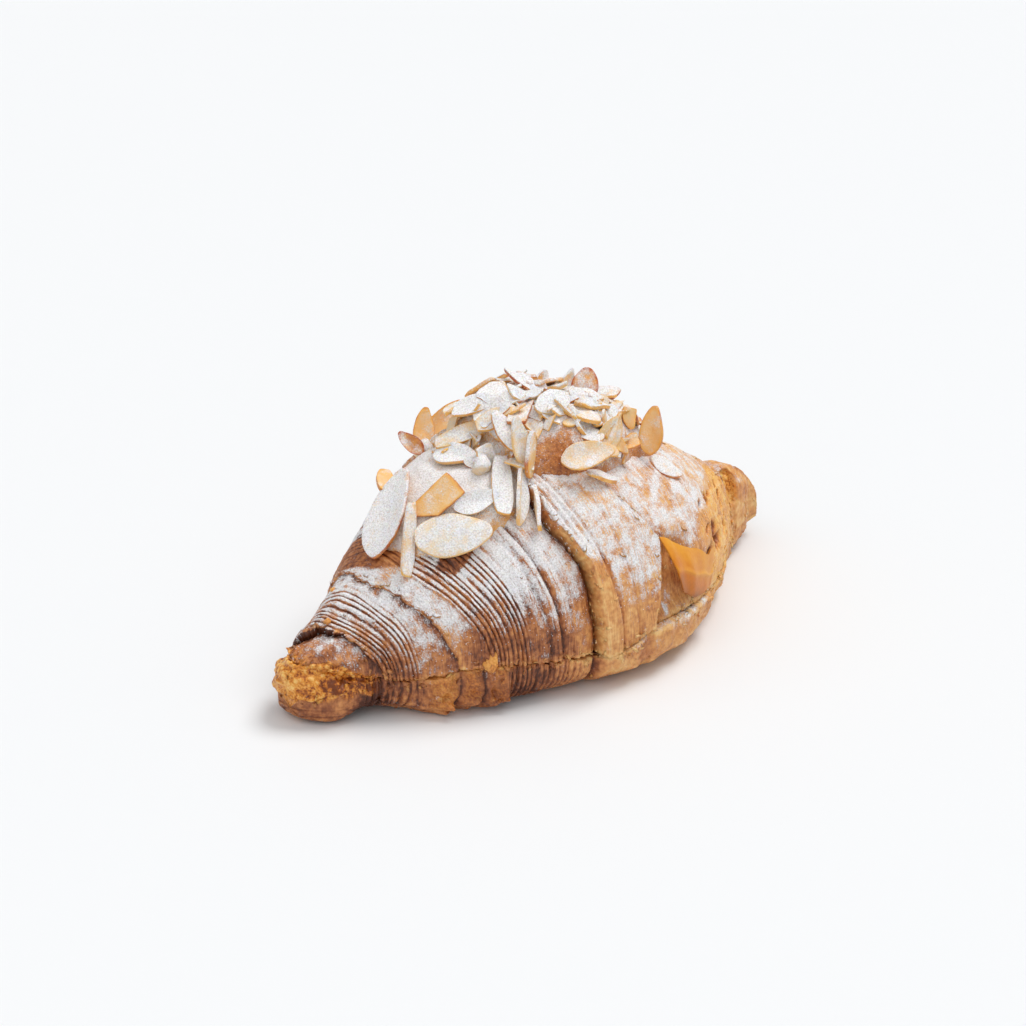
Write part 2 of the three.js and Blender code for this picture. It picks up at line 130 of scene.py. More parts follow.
# The right tip: folds along the roll, and a golden pocket in its front.
STUB_FOLDS = [78.8, 81.6, 85.2]
STUB_POCKET = {"at": 73.2, "level": 22.5, "half_long": 2.8, "half_high": 5.5, "depth": 1.6}

# Cream on the crown: lumps as x, y, half length, half width, thickness.
LUMPS = [(4, 1.5, 27, 23, 10.5), (5, -11.5, 16.5, 8.8, 8.5), (24, -3, 14, 14, 6), (-28, 2, 25, 21, 4)]
LUMP_CENTRE = (-4, -2)


# Stretches along the roll, by name: where each starts, is full, fades and ends.
ZONES = {
    "rim": (FOOT_ENDS[0], -60, 22, 38),
    "knobs": (-16, -12, 58, 66),
    "lumps": (-58, -55, -41, -39),
    "beside lid": (60, 62, 68, 74),
    "dark ridges": (-41, -38, -32, -24),
    "dark tip": (-74, -68, -66, -62),
    "hollow": (2, 5, 14, 26),
}
# Unevenness, by name: waves, each with its size, its count for each unit of both directions, and a salt.
RIPPLES = {
    "dough": [(0.5, 0.06, 1.7, 21), (0.25, 0.17, 4.3, 22), (0.13, 0.9, 1.1, 23)],
    "crease": [(0.5, 3, 1, 71)],
    "ridge place": [(0.3, 0.3, 2, 5), (0.12, 0.9, 4, 6)],
    "ridge depth": [(0.5, 0.8, 2.2, 8)],
    "ridge turn": [(0.3, 0.7, 0, 12)],
    "sugar": [(0.12, 0.16, 4.5, 3), (0.1, 0.9, 2.5, 4)],
    "clouds": [(1, 0.11, 3.4, 1), (0.5, 0.3, 8, 2)],
    "streaks": [(0.03, 0.9, 2.5, 4)],
    "lid edge": [(0.4, 0.7, 0, 9), (0.3, 1.9, 0, 10)],
    "foot edge": [(0.45, 0.45, 0, 29), (0.3, 1.3, 0, 30)],
    "tip crumb": [(1.6, 0.3, 5, 46), (0.8, 0.8, 13, 48)],
    "lid crumb": [(4, 0.2, 6, 41)],
    "foot crumb": [(2.5, 0.3, 5, 46)],
    "sugar heap": [(0.5, 1.2, 20, 39)],
    "flake level": [(0.5, 0.3, 1, 45)],
    "flake top": [(0.8, 0.2, 0, 42)],
    "flake fold": [(0.04, 0.2, 0, 43)],
    "flake curl": [(0.5, 0.22, 2.3, 47)],
    "flake face": [(0.12, 0.4, 4, 44)],
    "flake tone": [(0.14, 0.25, 2, 49)],
    "right tip": [(1.2, 0.17, 1.6, 25)],
    "knobs": [(0.9, 0.4, 1.5, 31), (0.6, 0.24, 6, 32)],
    "fold line": [(1.8, 1.3, 1, 37)],
    "fold gaps": [(1, 1.7, 1, 28)],
    "lump line": [(1.2, 0.1, 2.5, 35), (0.5, 0.3, 8, 36)],
    "lump size": [(0.6, 0.45, 5, 26)],
    "pocket": [(0.5, 0.5, 6, 38)],
    "tip sheets": [(0.4, 0.2, 0, 27)],
    "blotches": [(1, 0.2, 4, 33), (0.6, 0.55, 9, 34)],
    "filling": [(1.3, 0.33, 2.2, 53), (0.7, 0.8, 5, 54)],
}


def smooth(x, a, b):
    """0 at a and 1 at b, eased between them."""
    t = np.clip((x - a) / (b - a), 0, 1)
    return t * t * (3 - 2 * t)


def band(x, start, full, fade, end):
    """1 from full to fade, eased down to 0 at start and end."""
    return smooth(x, start, full) * smooth(x, end, fade)


def zone(name, at):
    return band(at, *ZONES[name])


def bell(x, middle, half):
    """A soft bump of height 1."""
    return np.exp(-(((x - middle) / half) ** 2))


def blend(a, b, t):
    return a + (b - a) * t


def knots(pairs, x):
    """A value that runs straight between (place, value) pairs."""
    return np.interp(x, [p[0] for p in pairs], [p[1] for p in pairs])


def chance(i, salt):
    """A fixed random value from 0 to 1 for each number; every salt gives other values."""
    v = np.sin(i * 12.9898 + salt * 78.233) * 43758.5453
    return v - np.floor(v)


def noise(u, v, salt):
    """Smooth values from -1 to 1 over a plane, about one wave for each unit."""
    i, j = np.floor(u), np.floor(v)
    a, b = smooth(u - i, 0, 1), smooth(v - j, 0, 1)

    def corner(di, dj):
        return chance((i + di) + 57.0 * (j + dj), salt)

    low = blend(corner(0, 0), corner(1, 0), a)
    high = blend(corner(0, 1), corner(1, 1), a)
    return 2 * blend(low, high, b) - 1


def ripple(name, u, v=0.0):
    """The sum of the waves in one row of RIPPLES."""
    return sum(size * noise(u * along_u, v * along_v, salt) for size, along_u, along_v, salt in RIPPLES[name])


def along(column, at):
    """A smooth curve through one column of the stations."""
    xs, ys = STATIONS[:, 0], STATIONS[:, column]
    slope = np.gradient(ys, xs)
    slope[1:-1] = (ys[2:] - ys[:-2]) / (xs[2:] - xs[:-2])
    i = np.clip(np.searchsorted(xs, at) - 1, 0, len(xs) - 2)
    span = xs[i + 1] - xs[i]
    t = (at - xs[i]) / span
    near = (2 * t**3 - 3 * t**2 + 1) * ys[i] + (t**3 - 2 * t**2 + t) * span * slope[i]
    return near + (3 * t**2 - 2 * t**3) * ys[i + 1] + (t**3 - t**2) * span * slope[i + 1]


def front_foot(angle):
    """1 low on the front, 0 on the crown and behind."""
    return smooth(angle, 1.75, 3.2)


def edge(name, angle):
    """Where a wrap's edge runs, with its small strays."""
    salt = list(EDGES).index(name)
    stray = 0 * angle
    for waves, size in ((2.6, 0.5), (9, 0.25), (26, 0.2)):
        stray = stray + size * noise(angle * waves, salt + 0 * angle, waves + salt)
    return knots(EDGES[name], angle) + stray


def wrap_step(at, angle, under=(), names=tuple(CLEFTS)):
    """Rise and fall of the crust beside the wraps' edges; a wrap dives where it goes under another."""
    step = 0 * at
    for name in names:
        rise, sink, side = CLEFTS[name]
        if name == "tip":
            # This edge steps over the crown and fades down the front.
            crown = smooth(angle, 2.3, 1.7)
            rise, sink = rise * crown, sink * blend(0.2, 1, crown)
        d = (at - edge(name, angle)) * side
        pressed = -sink * np.exp(np.minimum(d, 0) / SINK_FADE)
        raised = rise * np.exp(-np.maximum(d, 0) / RISE_FADE)
        diving = -sink - DIVE * np.clip(d, 0, DIVE_MOST)
        step = step + np.where(d > 0, diving if name in under else raised, pressed)
    return step


def crease_depth(at, angle):
    """Depth of the single creases, which end at the cut."""
    total, foot, lid = 0 * at, front_foot(angle), smooth(angle, 3.4, 3.2)
    for i, (crown_at, foot_at, half, depth, share) in enumerate(CREASES):
        line = blend(crown_at, foot_at, foot) + ripple("crease", angle, i)
        total = total + lid * depth * blend(1, share, smooth(foot, 0.3, 0.6)) * bell(at, line, half)
    return total


def sizes(at, grow):
    """The section at a place, swollen by grow: front, back, height, lift and the level where it is widest."""
    lift = along(4, at)
    height = np.maximum(along(3, at) + grow, lift + THINNEST)
    widest = lift + np.minimum(WIDEST_SHARE * (height - lift), WIDEST_MOST)
    front, back = [np.maximum(along(column, at) + grow, THINNEST) for column in (1, 2)]
    return front, back, height, lift, widest


def crust(at, angle, size):
    """Points of the crust from the sizes of its section."""
    front, back, height, lift, widest = size
    c, h = np.cos(angle), np.sin(angle)
    reach = np.abs(c) ** np.where(h > 0, CROWN_POWER, FOOT_POWER)
    over = widest + (height - widest) * np.maximum(h, 0) ** CROWN_POWER
    under = widest - (widest - lift + SETTLE) * np.maximum(-h, 0) ** FOOT_POWER
    z = np.maximum(np.where(h > 0, over, under), np.maximum(TIP_FLAT * lift, 0))
    return place(at, np.where(c > 0, back, -front) * reach, z)


def place(at, y, z):
    return np.stack(np.broadcast_arrays(at - WRAP_LEAN * y + PLACE_X, y + PLACE_Y, z), -1)


def angle_at(size, z):
    """The angle at which a section passes a level, behind; in front it is pi less that."""
    _, _, height, lift, widest = size
    above = np.clip((z - widest) / (height - widest), 0, 1)
    below = np.clip((widest - z) / (widest - lift + SETTLE), 0, 1)
    up, down = np.arcsin(above ** (1 / CROWN_POWER)), np.arcsin(below ** (1 / FOOT_POWER))
    return np.where(z > widest, up, -down)


def crust_height(x, y):
    across = y - PLACE_Y
    at = np.clip(x - PLACE_X + WRAP_LEAN * across, -83, 89)
    front, back, *_ = sizes(at, 0 * at)
    reach = np.minimum(1, np.abs(across) / np.where(across > 0, back, front)) ** (1 / CROWN_POWER)
    angle = np.arccos(np.sign(across) * reach)
    _, _, height, _, widest = sizes(at, wrap_step(at, angle))
    return widest + (height - widest) * np.sin(angle) ** CROWN_POWER


def cream_thickness(x, y):
    power = 0 * x
    for lx, ly, long, wide, thick in LUMPS:
        far = ((x - lx) / long) ** 2 + ((y - ly) / wide) ** 2
        power = power + (thick * np.sqrt(np.clip(1 - far * far, 0, 1))) ** 4
    return power**0.25


def top_height(x, y):
    return crust_height(x, y) + cream_thickness(x, y)


def top_slope(x, y):
    """Slope of the cream along x and along y."""
    along_x = top_height(x + 1, y) - top_height(x - 1, y)
    along_y = top_height(x, y + 1) - top_height(x, y - 1)
    return along_x / 2, along_y / 2


def lid_level(at):
    return CUT_LEVEL + CUT_GAP / 2 + LID_GAPE[2] * smooth(at, *LID_GAPE[:2]) + knots(CUT_WAVE, at)


def foot_level(at):
    return CUT_LEVEL - CUT_GAP / 2 - FOOT_GAPE[2] * smooth(at, *FOOT_GAPE[:2]) + knots(CUT_WAVE, at)


def end_draw(at):
    """How far the sections draw in towards both round ends."""
    left = np.clip((TIP_ROUND[0] - at) / TIP_ROUND[1], 0, 1)
    right = np.clip((at - STUB_ROUND[0]) / STUB_ROUND[1], 0, 1)
    return TIP_ROUND[2] * (1 - np.sqrt(1 - left**2)) + STUB_ROUND[2] * (1 - np.sqrt(1 - right**2))


# Meshes from grids of points.
def grid_mesh(name, points, marks):
    """A mesh over rows of points, each row closed to a ring, with a value of each mark at every point."""
    rows, cols = points.shape[:2]
    ids = np.arange(rows * cols).reshape(rows, cols)
    ids = np.concatenate([ids, ids[:, :1]], 1)
    quads = np.stack([ids[:-1, :-1], ids[:-1, 1:], ids[1:, 1:], ids[1:, :-1]], -1).reshape(-1, 4)
    flat = {key: np.ravel(value + 0 * points[..., 0]) for key, value in marks.items()}
    return array_mesh(name, points.reshape(-1, 3) * MM, quads, flat)


def array_mesh(name, points, faces, marks):
    mesh = bpy.data.meshes.new(name)
    count, sides = faces.shape
    mesh.vertices.add(len(points))
    mesh.vertices.foreach_set("co", points.astype(np.float32).ravel())
    mesh.loops.add(count * sides)
    mesh.loops.foreach_set("vertex_index", faces.astype(np.int32).ravel())
    mesh.polygons.add(count)
    mesh.polygons.foreach_set("loop_start", np.arange(0, count * sides, sides, dtype=np.int32))
    mesh.polygons.foreach_set("use_smooth", np.ones(count, bool))
    for key, value in marks.items():
        set_mark(mesh, key, value)
    mesh.update(calc_edges=True)
    mesh.validate()
    return mesh


def set_mark(mesh, name, value, kind="FLOAT"):
    field = "vector" if kind == "FLOAT_VECTOR" else "value"
    store = np.int32 if kind == "INT" else np.float32
    mesh.attributes.new(name, kind, "POINT").data.foreach_set(field, value.astype(store).ravel())


def add_object(name, data):
    thing = bpy.data.objects.new(name, data)
    bpy.context.scene.collection.objects.link(thing)
    return thing


def ring_piece(name, points, marks):
    return add_object(name, grid_mesh(name, points, marks))


def point_cloud(name, points, marks, vectors, kind):
    """Loose points that carry what a tree needs to set a shape on each."""
    mesh = bpy.data.meshes.new(name)
    mesh.vertices.add(len(points))
    mesh.vertices.foreach_set("co", (points * MM).astype(np.float32).ravel())
    for key, value in marks.items():
        set_mark(mesh, key, value)
    for key, value in vectors.items():
        set_mark(mesh, key, value, "FLOAT_VECTOR")
    set_mark(mesh, "kind", kind, "INT")
    return add_object(name, mesh)


# Node trees.
class Tree:
    """A node tree under construction: each call adds a node and returns it."""

    def __init__(self, tree):
        self.tree = tree

    def node(self, kind, inputs=None, **settings):
        made = self.tree.nodes.new(kind)
        for key, value in settings.items():
            setattr(made, key, value)
        for key, value in (inputs or {}).items():
            self.feed(made.inputs[key], value)
        return made

    def feed(self, socket, value):
        if isinstance(value, bpy.types.Node):
            value = next(s for s in value.outputs if s.enabled)
        if isinstance(value, bpy.types.NodeSocket):
            self.tree.links.new(value, socket)
        else:
            socket.default_value = value

    def math(self, operation, a, b=0.0, clamp=False):
        return self.node("ShaderNodeMath", {0: a, 1: b}, operation=operation, use_clamp=clamp)

    def plus(self, a, b):
        return self.math("ADD", a, b)

    def minus(self, a, b):
        return self.math("SUBTRACT", a, b)

    def times(self, a, b):
        return self.math("MULTIPLY", a, b)

    def scale(self, vector, factor):
        return self.node("ShaderNodeVectorMath", {0: vector, "Scale": factor}, operation="SCALE")

    def ramp(self, value, low, high, to_low=0.0, to_high=1.0):
        limits = {"From Min": low, "From Max": high, "To Min": to_low, "To Max": to_high}
        return self.node("ShaderNodeMapRange", {"Value": value, **limits}, interpolation_type="SMOOTHSTEP")

    def read(self, name, kind="FLOAT"):
        made = self.node("GeometryNodeInputNamedAttribute", {"Name": name}, data_type=kind)
        return made.outputs["Attribute"]

    def store(self, geometry, name, value):
        inputs = {"Geometry": geometry, "Name": name, "Value": value}
        return self.node("GeometryNodeStoreNamedAttribute", inputs, data_type="FLOAT", domain="POINT")

    def push(self, geometry, height):
        """Moves the surface along its normal."""
        offset = self.scale(self.node("GeometryNodeInputNormal"), height)
        return self.node("GeometryNodeSetPosition", {"Geometry": geometry, "Offset": offset})

    def roughen(self, geometry, where, size, depth, seed, clumped=0.0):
        """Moves the surface in and out by a noise, more or less in clumps, and stores the noise."""
        spot = self.scale(where, self.math("DIVIDE", 1.0, size))
        inputs = {"Vector": spot, "W": seed, "Detail": 3.0}
        speck = self.node("ShaderNodeTexNoise", inputs, noise_dimensions="4D").outputs[0]
        inputs = {"Vector": spot, "W": seed, "Scale": 1.0}
        gap = self.node("ShaderNodeTexVoronoi", inputs, voronoi_dimensions="4D").outputs[0]
        clump = self.minus(self.minus(1.05, gap), speck)
        speck = self.plus(speck, self.times(clump, self.times(clumped, 0.7)))
        noted = self.store(geometry, "grain", speck)
        return self.push(noted, self.times(self.minus(speck, 0.5), depth))

    def note_slope(self, geometry):
        """Stores how far the surface faces up."""
        level = self.node("ShaderNodeSeparateXYZ", {0: self.node("GeometryNodeInputNormal")}).outputs["Z"]
        return self.store(geometry, "up", level)

    def between(self, low, high, seed):
        """A random value for each point."""
        inputs = {2: low, 3: high, "Seed": seed}
        return self.node("FunctionNodeRandomValue", inputs, data_type="FLOAT").outputs[1]

    def turned_between(self, low, high, seed):
        """A random rotation for each point."""
        inputs = {0: low, 1: high, "Seed": seed}
        turns = self.node("FunctionNodeRandomValue", inputs, data_type="FLOAT_VECTOR").outputs[0]
        return self.node("FunctionNodeEulerToRotation", {0: turns})

    def shapes_of(self, collection):
        """A collection's shapes, to pick one for each point."""
        inputs = {"Collection": collection, "Separate Children": True, "Reset Children": True}
        return self.node("GeometryNodeCollectionInfo", inputs)


def geometry_tree(name, inputs):
    """An empty Geometry Nodes tree with named inputs after its geometry."""
    group = bpy.data.node_groups.new(name, "GeometryNodeTree")
    group.interface.new_socket("Geometry", in_out="INPUT", socket_type="NodeSocketGeometry")
    for label, value in inputs.items():
        kind = value if isinstance(value, str) else "Float"
        socket = group.interface.new_socket(label, in_out="INPUT", socket_type="NodeSocket" + kind)
        if kind == "Float":
            socket.default_value = value
    group.interface.new_socket("Geometry", in_out="OUTPUT", socket_type="NodeSocketGeometry")
    return group, Tree(group), group.nodes.new("NodeGroupInput").outputs, group.nodes.new("NodeGroupOutput")


def finish_tree(t, out, geometry, finish):
    whole = t.node("GeometryNodeRealizeInstances", {"Geometry": geometry})
    painted = t.node("GeometryNodeSetMaterial", {"Geometry": whole, "Material": finish})
    t.feed(out.inputs[0], painted)


def run_tree(thing, group, values):
    """Applies a tree to an object and leaves a plain mesh."""
    modifier = thing.modifiers.new("shape", "NODES")
    modifier.node_group = group
    for item in group.interface.items_tree:
        if item.in_out == "INPUT" and item.name in values:
            modifier[item.identifier] = values[item.name]
    graph = bpy.context.evaluated_depsgraph_get()
    mesh = bpy.data.meshes.new_from_object(thing.evaluated_get(graph), depsgraph=graph)
    thing.modifiers.remove(modifier)
    thing.data = mesh
    mesh.name = thing.name
    return thing


def crust_tree():
    """Steps the dough's sheets in a wrap, makes it flaky and rough, and sets loose chips of crust on it."""
    inputs = {
        "Roundness": 0.6, "Flake size": 0.6 * MM, "Flake depth": 0.3 * MM, "Grain size": 1.3 * MM,
        "Grain depth": 0.3 * MM, "Chips": "Collection", "Chip density": 3e5, "Smallest chip": 0.35 * MM,
        "Largest chip": 1.5 * MM, "Seed": 3.0, "Finish": "Material",
    }
    group, t, given, out = geometry_tree("laminated crust", inputs)
    arch = t.math("SINE", t.times(t.math("FRACT", t.read("turn")), np.pi))
    sheet = t.minus(t.math("POWER", arch, given["Roundness"]), 0.5)
    shaped = t.push(given["Geometry"], t.times(sheet, t.read("ridge")))
    across = t.math("DIVIDE", t.read("round"), STREAK)
    flow = t.node("ShaderNodeCombineXYZ", {"X": t.read("run"), "Y": across})
    depth = t.times(given["Flake depth"], t.math("SUBTRACT", 1.0, t.read("bare"), clamp=True))
    shaped = t.roughen(shaped, flow, given["Flake size"], depth, given["Seed"])
    spot, depth = t.node("GeometryNodeInputPosition"), t.times(given["Grain depth"], t.read("rough"))
    shaped = t.roughen(shaped, spot, given["Grain size"], depth, given["Seed"], t.read("bare"))
    steep = t.math("DIVIDE", t.read("ridge"), 0.5 * MM, clamp=True)
    # The groove mark thins the sugar in the ridges' grooves and darkens them as painted shade.
    shaped = t.store(shaped, "groove", t.times(t.ramp(arch, 0.75, 0.1), steep))
    whole = t.node("GeometryNodeJoinGeometry", {0: shaped})
    t.feed(whole.inputs[0], loose_chips(t, shaped, given))
    whole = t.node("GeometryNodeRealizeInstances", {"Geometry": whole})
    finish_tree(t, out, t.note_slope(whole), given["Finish"])
    return group


def loose_chips(t, surface, given):
    """Chips of crust that lie on a surface, each a little tilted and browned as the surface is, or less."""
    density = t.times(t.read("flaky"), given["Chip density"])
    points = t.node("GeometryNodeDistributePointsOnFaces", {"Mesh": surface, "Density": density, "Seed": 4})
    shade = t.plus(t.read("brown"), t.between(-0.35, 0.1, 6))
    shaded = t.store(points.outputs["Points"], "brown", shade)
    tilted = t.turned_between((-0.4, -0.4, 0), (0.4, 0.4, 6.3), 8)
    inputs = {0: points.outputs["Rotation"], 1: tilted}
    turned = t.node("FunctionNodeRotateRotation", inputs, rotation_space="LOCAL")
    size = t.between(given["Smallest chip"], given["Largest chip"], 9)
    laid = {"Points": shaded, "Instance": t.shapes_of(given["Chips"]), "Pick Instance": True}
    return t.node("GeometryNodeInstanceOnPoints", {**laid, "Rotation": turned, "Scale": size})


def pieces_tree():
    """Sets one of a collection's shapes on every point, turned and sized as the point says."""
    inputs = {"Shapes": "Collection", "Grain size": 1.2 * MM, "Grain depth": 0.12 * MM, "Seed": 5.0}
    group, t, given, out = geometry_tree("set pieces", {**inputs, "Finish": "Material"})
    turned = t.node("FunctionNodeEulerToRotation", {0: t.read("turned", "FLOAT_VECTOR")})
    laid = {
        "Points": given["Geometry"], "Instance": t.shapes_of(given["Shapes"]), "Pick Instance": True,
        "Instance Index": t.read("kind", "INT"), "Rotation": turned, "Scale": t.read("size", "FLOAT_VECTOR"),
    }
    whole = t.node("GeometryNodeRealizeInstances", {"Geometry": t.node("GeometryNodeInstanceOnPoints", laid)})
    spot = t.node("GeometryNodeInputPosition")
    rough = t.roughen(whole, spot, given["Grain size"], given["Grain depth"], given["Seed"])
    finish_tree(t, out, t.note_slope(rough), given["Finish"])
    return group


def grain_tree():
    """Strews grains over a surface, as thick as its mark says."""
    inputs = {"Density": 1.6e6, "Smallest": 0.1 * MM, "Largest": 0.2 * MM, "Finish": "Material"}
    group, t, given, out = geometry_tree("sugar grains", inputs)
    thick = {"Mesh": given["Geometry"], "Density": t.times(t.read("strewn"), given["Density"]), "Seed": 7}
    points = t.node("GeometryNodeDistributePointsOnFaces", thick).outputs["Points"]
    grain = t.node("GeometryNodeMeshUVSphere", {"Segments": 4, "Rings": 2, "Radius": 1.0}).outputs["Mesh"]
    size = t.between(given["Smallest"], given["Largest"], 2)
    turned = t.turned_between((0, 0, 0), (6.3, 6.3, 6.3), 3)
    laid = {"Points": points, "Instance": grain, "Rotation": turned, "Scale": size}
    finish_tree(t, out, t.node("GeometryNodeInstanceOnPoints", laid), given["Finish"])
    return group


# Looks of the crust, worked out at every point: how brown it is, with painted shade in clefts, creases and
# hollows, and where the sugar lies.
BROWN = [
    (-84, 0.5), (-74, 0.56), (-60, 0.57), (-50, 0.5), (-45, 0.62), (-34, 0.64), (-28, 0.46), (-18, 0.41),
    (-15, 0.29), (-5, 0.36), (9, 0.36), (24, 0.32), (46, 0.28), (66, 0.28), (72, 0.32), (89, 0.34),
]
DUST = [
    (-84, 0.3), (-75, 0.85), (-69, 1.0), (-60, 0.96), (-56, 0.84), (-48, 0.72), (-43, 1.2), (-34, 1.2),
    (-28, 1.06), (-16, 1.0), (-4, 0.76), (8, 0.74), (20, 0.76), (34, 0.75), (48, 0.65), (58, 0.5),
    (68, 0.5), (76, 0.4), (89, 0.2),
]
# The level above which sugar lies.
SUGAR_LEVEL = [
    (-84, 18), (-74, 18), (-66, 18), (-57, 9), (-50, 12), (-44, 24), (-34, 24), (-28, 18), (-18, 18),
    (-14, 24), (-4, 20), (6, 20), (14, 22), (30, 24), (45, 28), (60, 24), (75, 17), (89, 15),
]
# Width of the sugar-free strip beside the deep cleft.
BARE_STRIP = 5


def ridge_marks(at, angle, zones):
    """The turn of each ridge and its depth."""
    turn, depth = 0 * at + 0.5, 0 * at
    foot = front_foot(angle)
    placed = at + ripple("ridge place", at, angle)
    for crown_first, foot_first, crown_last, foot_last, count, deep in zones:
        first, last = blend(crown_first, foot_first, foot), blend(crown_last, foot_last, foot)
        share = (placed - first) / (last - first)
        inside = band(share, -0.1, -0.02, 0.75, 1.02)
        ridges = share * count
        uneven = 0.8 + ripple("ridge depth", ridges, angle)
        turn = np.where(inside > 0, ridges + ripple("ridge turn", ridges), turn)
        depth = np.where(inside > 0, inside * deep * uneven, depth)
    return turn, depth * MM


def fallen_sugar(at, angle, z):
    """How thick the sugar fell, before edges and slices keep it off."""
    level = knots(SUGAR_LEVEL, at)
    share = 0.84 * smooth(z, level - 7, level + 15) + 0.16 * smooth(z, level - 18, level - 2)
    return knots(DUST, at) * share + ripple("sugar", at, angle)


def sheltered_spots(at, points, cloud):
    """The share of each spot that a slice kept free of sugar and darkens as its painted shadow, to the right
    of the left wrap's edge.
    """
    x, y = points[..., 0], points[..., 1]
    for spot_x, spot_y, half_x, half_y in SHELTERED:
        far = ((x - spot_x) / half_x) ** 2 + ((y - spot_y) / half_y) ** 2
        yield smooth(far + 0.3 * cloud, 1.4, 0.7) * smooth(at + 0.6 * np.minimum(y, 0), -56.8, -55.4)


def crust_marks(at, angle, points, zones, cut, names=tuple(CLEFTS)):
    """Browning with painted shade beside the clefts, in the creases and under the large slices, sugar,
    ridges, roughness and chips of the crust; cut is the level of its edge.
    """
    z = points[..., 2]
    turn, ridge = ridge_marks(at, angle, zones)
    cloud = ripple("clouds", at, angle)
    creased, low, from_cut = crease_depth(at, angle), smooth(z, 34, 8), np.abs(z - cut)
    # Creases are darkened as painted shade.
    brown = knots(BROWN, at) + 0.12 * cloud + ripple("streaks", at, angle) + 0.3 * creased
    brown = brown + 0.1 * low * smooth(at, -20, -34) - 0.08 * low * smooth(at, -16, 10)
    brown = brown - 0.25 * smooth(from_cut, 1.8, 0.3)
    dust, torn = fallen_sugar(at, angle, z), smooth(from_cut, 3, 0.5)
    for name in names:
        d = (at - edge(name, angle)) * CLEFTS[name][2]
        # Painted shade on the covered wrap beside each cleft's edge, with thinner sugar there; a narrow line
        # on the edge itself is lighter.
        crack = np.where(d < 0, np.exp(np.minimum(d, 0) / CRACK_FADE[name]), 0)
        brown = brown + 0.55 * crack - 0.12 * smooth(np.abs(d - 0.6), 0.6, 0)
        dust = dust * (1 - 0.6 * crack)
        torn = np.maximum(torn, 0.6 * band(d, -0.3, 0.1, 0.4, 1.8))
    strip = (at - edge("deep", angle)) / BARE_STRIP
    bared = band(strip, -0.02, 0, 0.9, 1.1) * smooth(z, 42, 36)
    for sugarless_shadowed in sheltered_spots(at, points, cloud):
        # Under the slices the sugar is gone and a painted shadow darkens the crust.
        bared, brown = np.maximum(bared, sugarless_shadowed), brown + 0.12 * sugarless_shadowed
    dust = np.maximum(dust * (1 - bared) - 0.25 * creased, 0)
    girth = 0.5 * (along(1, at) + along(3, at))
    flow = {"run": at * MM, "round": angle * girth * MM, "streaky": 0 * at + 1}
    return {"brown": brown, "dust": dust, "turn": turn, "ridge": ridge, "rough": 0 * at + 1, "bare": 0 * at,
            "flaky": 0.03 + 0.9 * torn, **flow}


def plain_marks(points, **values):
    """Marks of a piece that isn't laminated, with an even grain."""
    x, y, z = np.moveaxis(points, -1, 0)
    plain = {"brown": 0.3, "dust": 0, "turn": 0.5, "ridge": 0, "rough": 1, "bare": 0, "flaky": 0}
    return {**plain, "run": x * MM, "round": STREAK * (y + z) * MM, "streaky": 1, **values}


def repeat_marks(marks, count):
    """The marks, with those of the first column again on further columns."""
    first = {key: np.repeat(value[:, :1], count, 1) for key, value in marks.items()}
    return {key: np.concatenate([value, first[key]], 1) for key, value in marks.items()}


# The lid, wrap by wrap.
def lip(radius):
    """Profile of a rolled edge: distance in from the edge and rise, from the hidden tuck to the top."""
    turn = np.linspace(0, np.pi / 2, 9)
    tuck = [(2.6, -3.2 - radius), (1.3, -2.2 - radius), (0.4, -0.9 - radius)]
    return np.array(tuck + [(radius * (1 - np.cos(a)), radius * (np.sin(a) - 1)) for a in turn])


def wrap_places(ends, lips, rows, angle):
    """Places along a wrap and the rise at each. A lip above 0 is a rolled edge; below 0 it runs under."""
    first, last = [edge(e, angle) if isinstance(e, str) else e + 0 * angle for e in ends]
    share = np.linspace(0, 1, rows)[:, None]
    at, rise = [blend(first + lips[0], last - lips[1], share)], [0 * share]
    if lips[0] > 0:
        profile = lip(lips[0])
        at.insert(0, first + profile[:, :1])
        rise.insert(0, profile[:, 1:])
    if lips[1] > 0:
        profile = lip(lips[1])[::-1]
        at.append(last - profile[:, :1])
        rise.append(profile[:, 1:])
    return np.concatenate(at), np.concatenate(rise)


def lid_wrap(name, ends, lips, under, rows, around, ridges):
    """One wrap of the lid, closed below."""
    t = np.linspace(0, 1, around)[None, :]
    guess = np.pi * t
    at, rise = wrap_places(ends, lips, rows, guess)
    grow = wrap_step(at, guess, under) + rise + ripple("dough", at, guess)
    grow = grow - end_draw(at) - crease_depth(at, guess)
    if "right" in under:
        grow = grow + 0.5 * smooth(at, 54, 62)
        low = angle_at(sizes(at, grow), lid_level(at))
        angle = blend(low, np.pi - low, t)
        grow = grow - hollow(at, angle) - pits(at, angle)
    size = sizes(at, grow)
    ragged = ripple("lid edge", at) * blend(1, 2.2, smooth(at, -64, -70)) * np.abs(1 - 2 * t)
    low = angle_at(size, lid_level(at) + ragged)
    angle = blend(low, np.pi - low, t)
    points = crust(at, angle, size)
    marks = crust_marks(at, guess, points, ridges, lid_level(at))
    # The wall under a rolled edge is darkened as painted shade and has no chips; on the left wrap it starts
    # higher.
    start = -0.3 * max(lips) if "left" in under else -max(lips)
    marks["brown"] += smooth(rise, start, start - 0.3)
    marks["flaky"] *= smooth(rise, start - 0.3, start)
    if "tip" in under:
        bare_tip(at, guess, points, marks, lid_level(at) + 1.5, 1)
    if "right" in under:
        bare_patch(at, angle, guess, points, marks)
    return ring_piece(name, *close_below(points, marks))


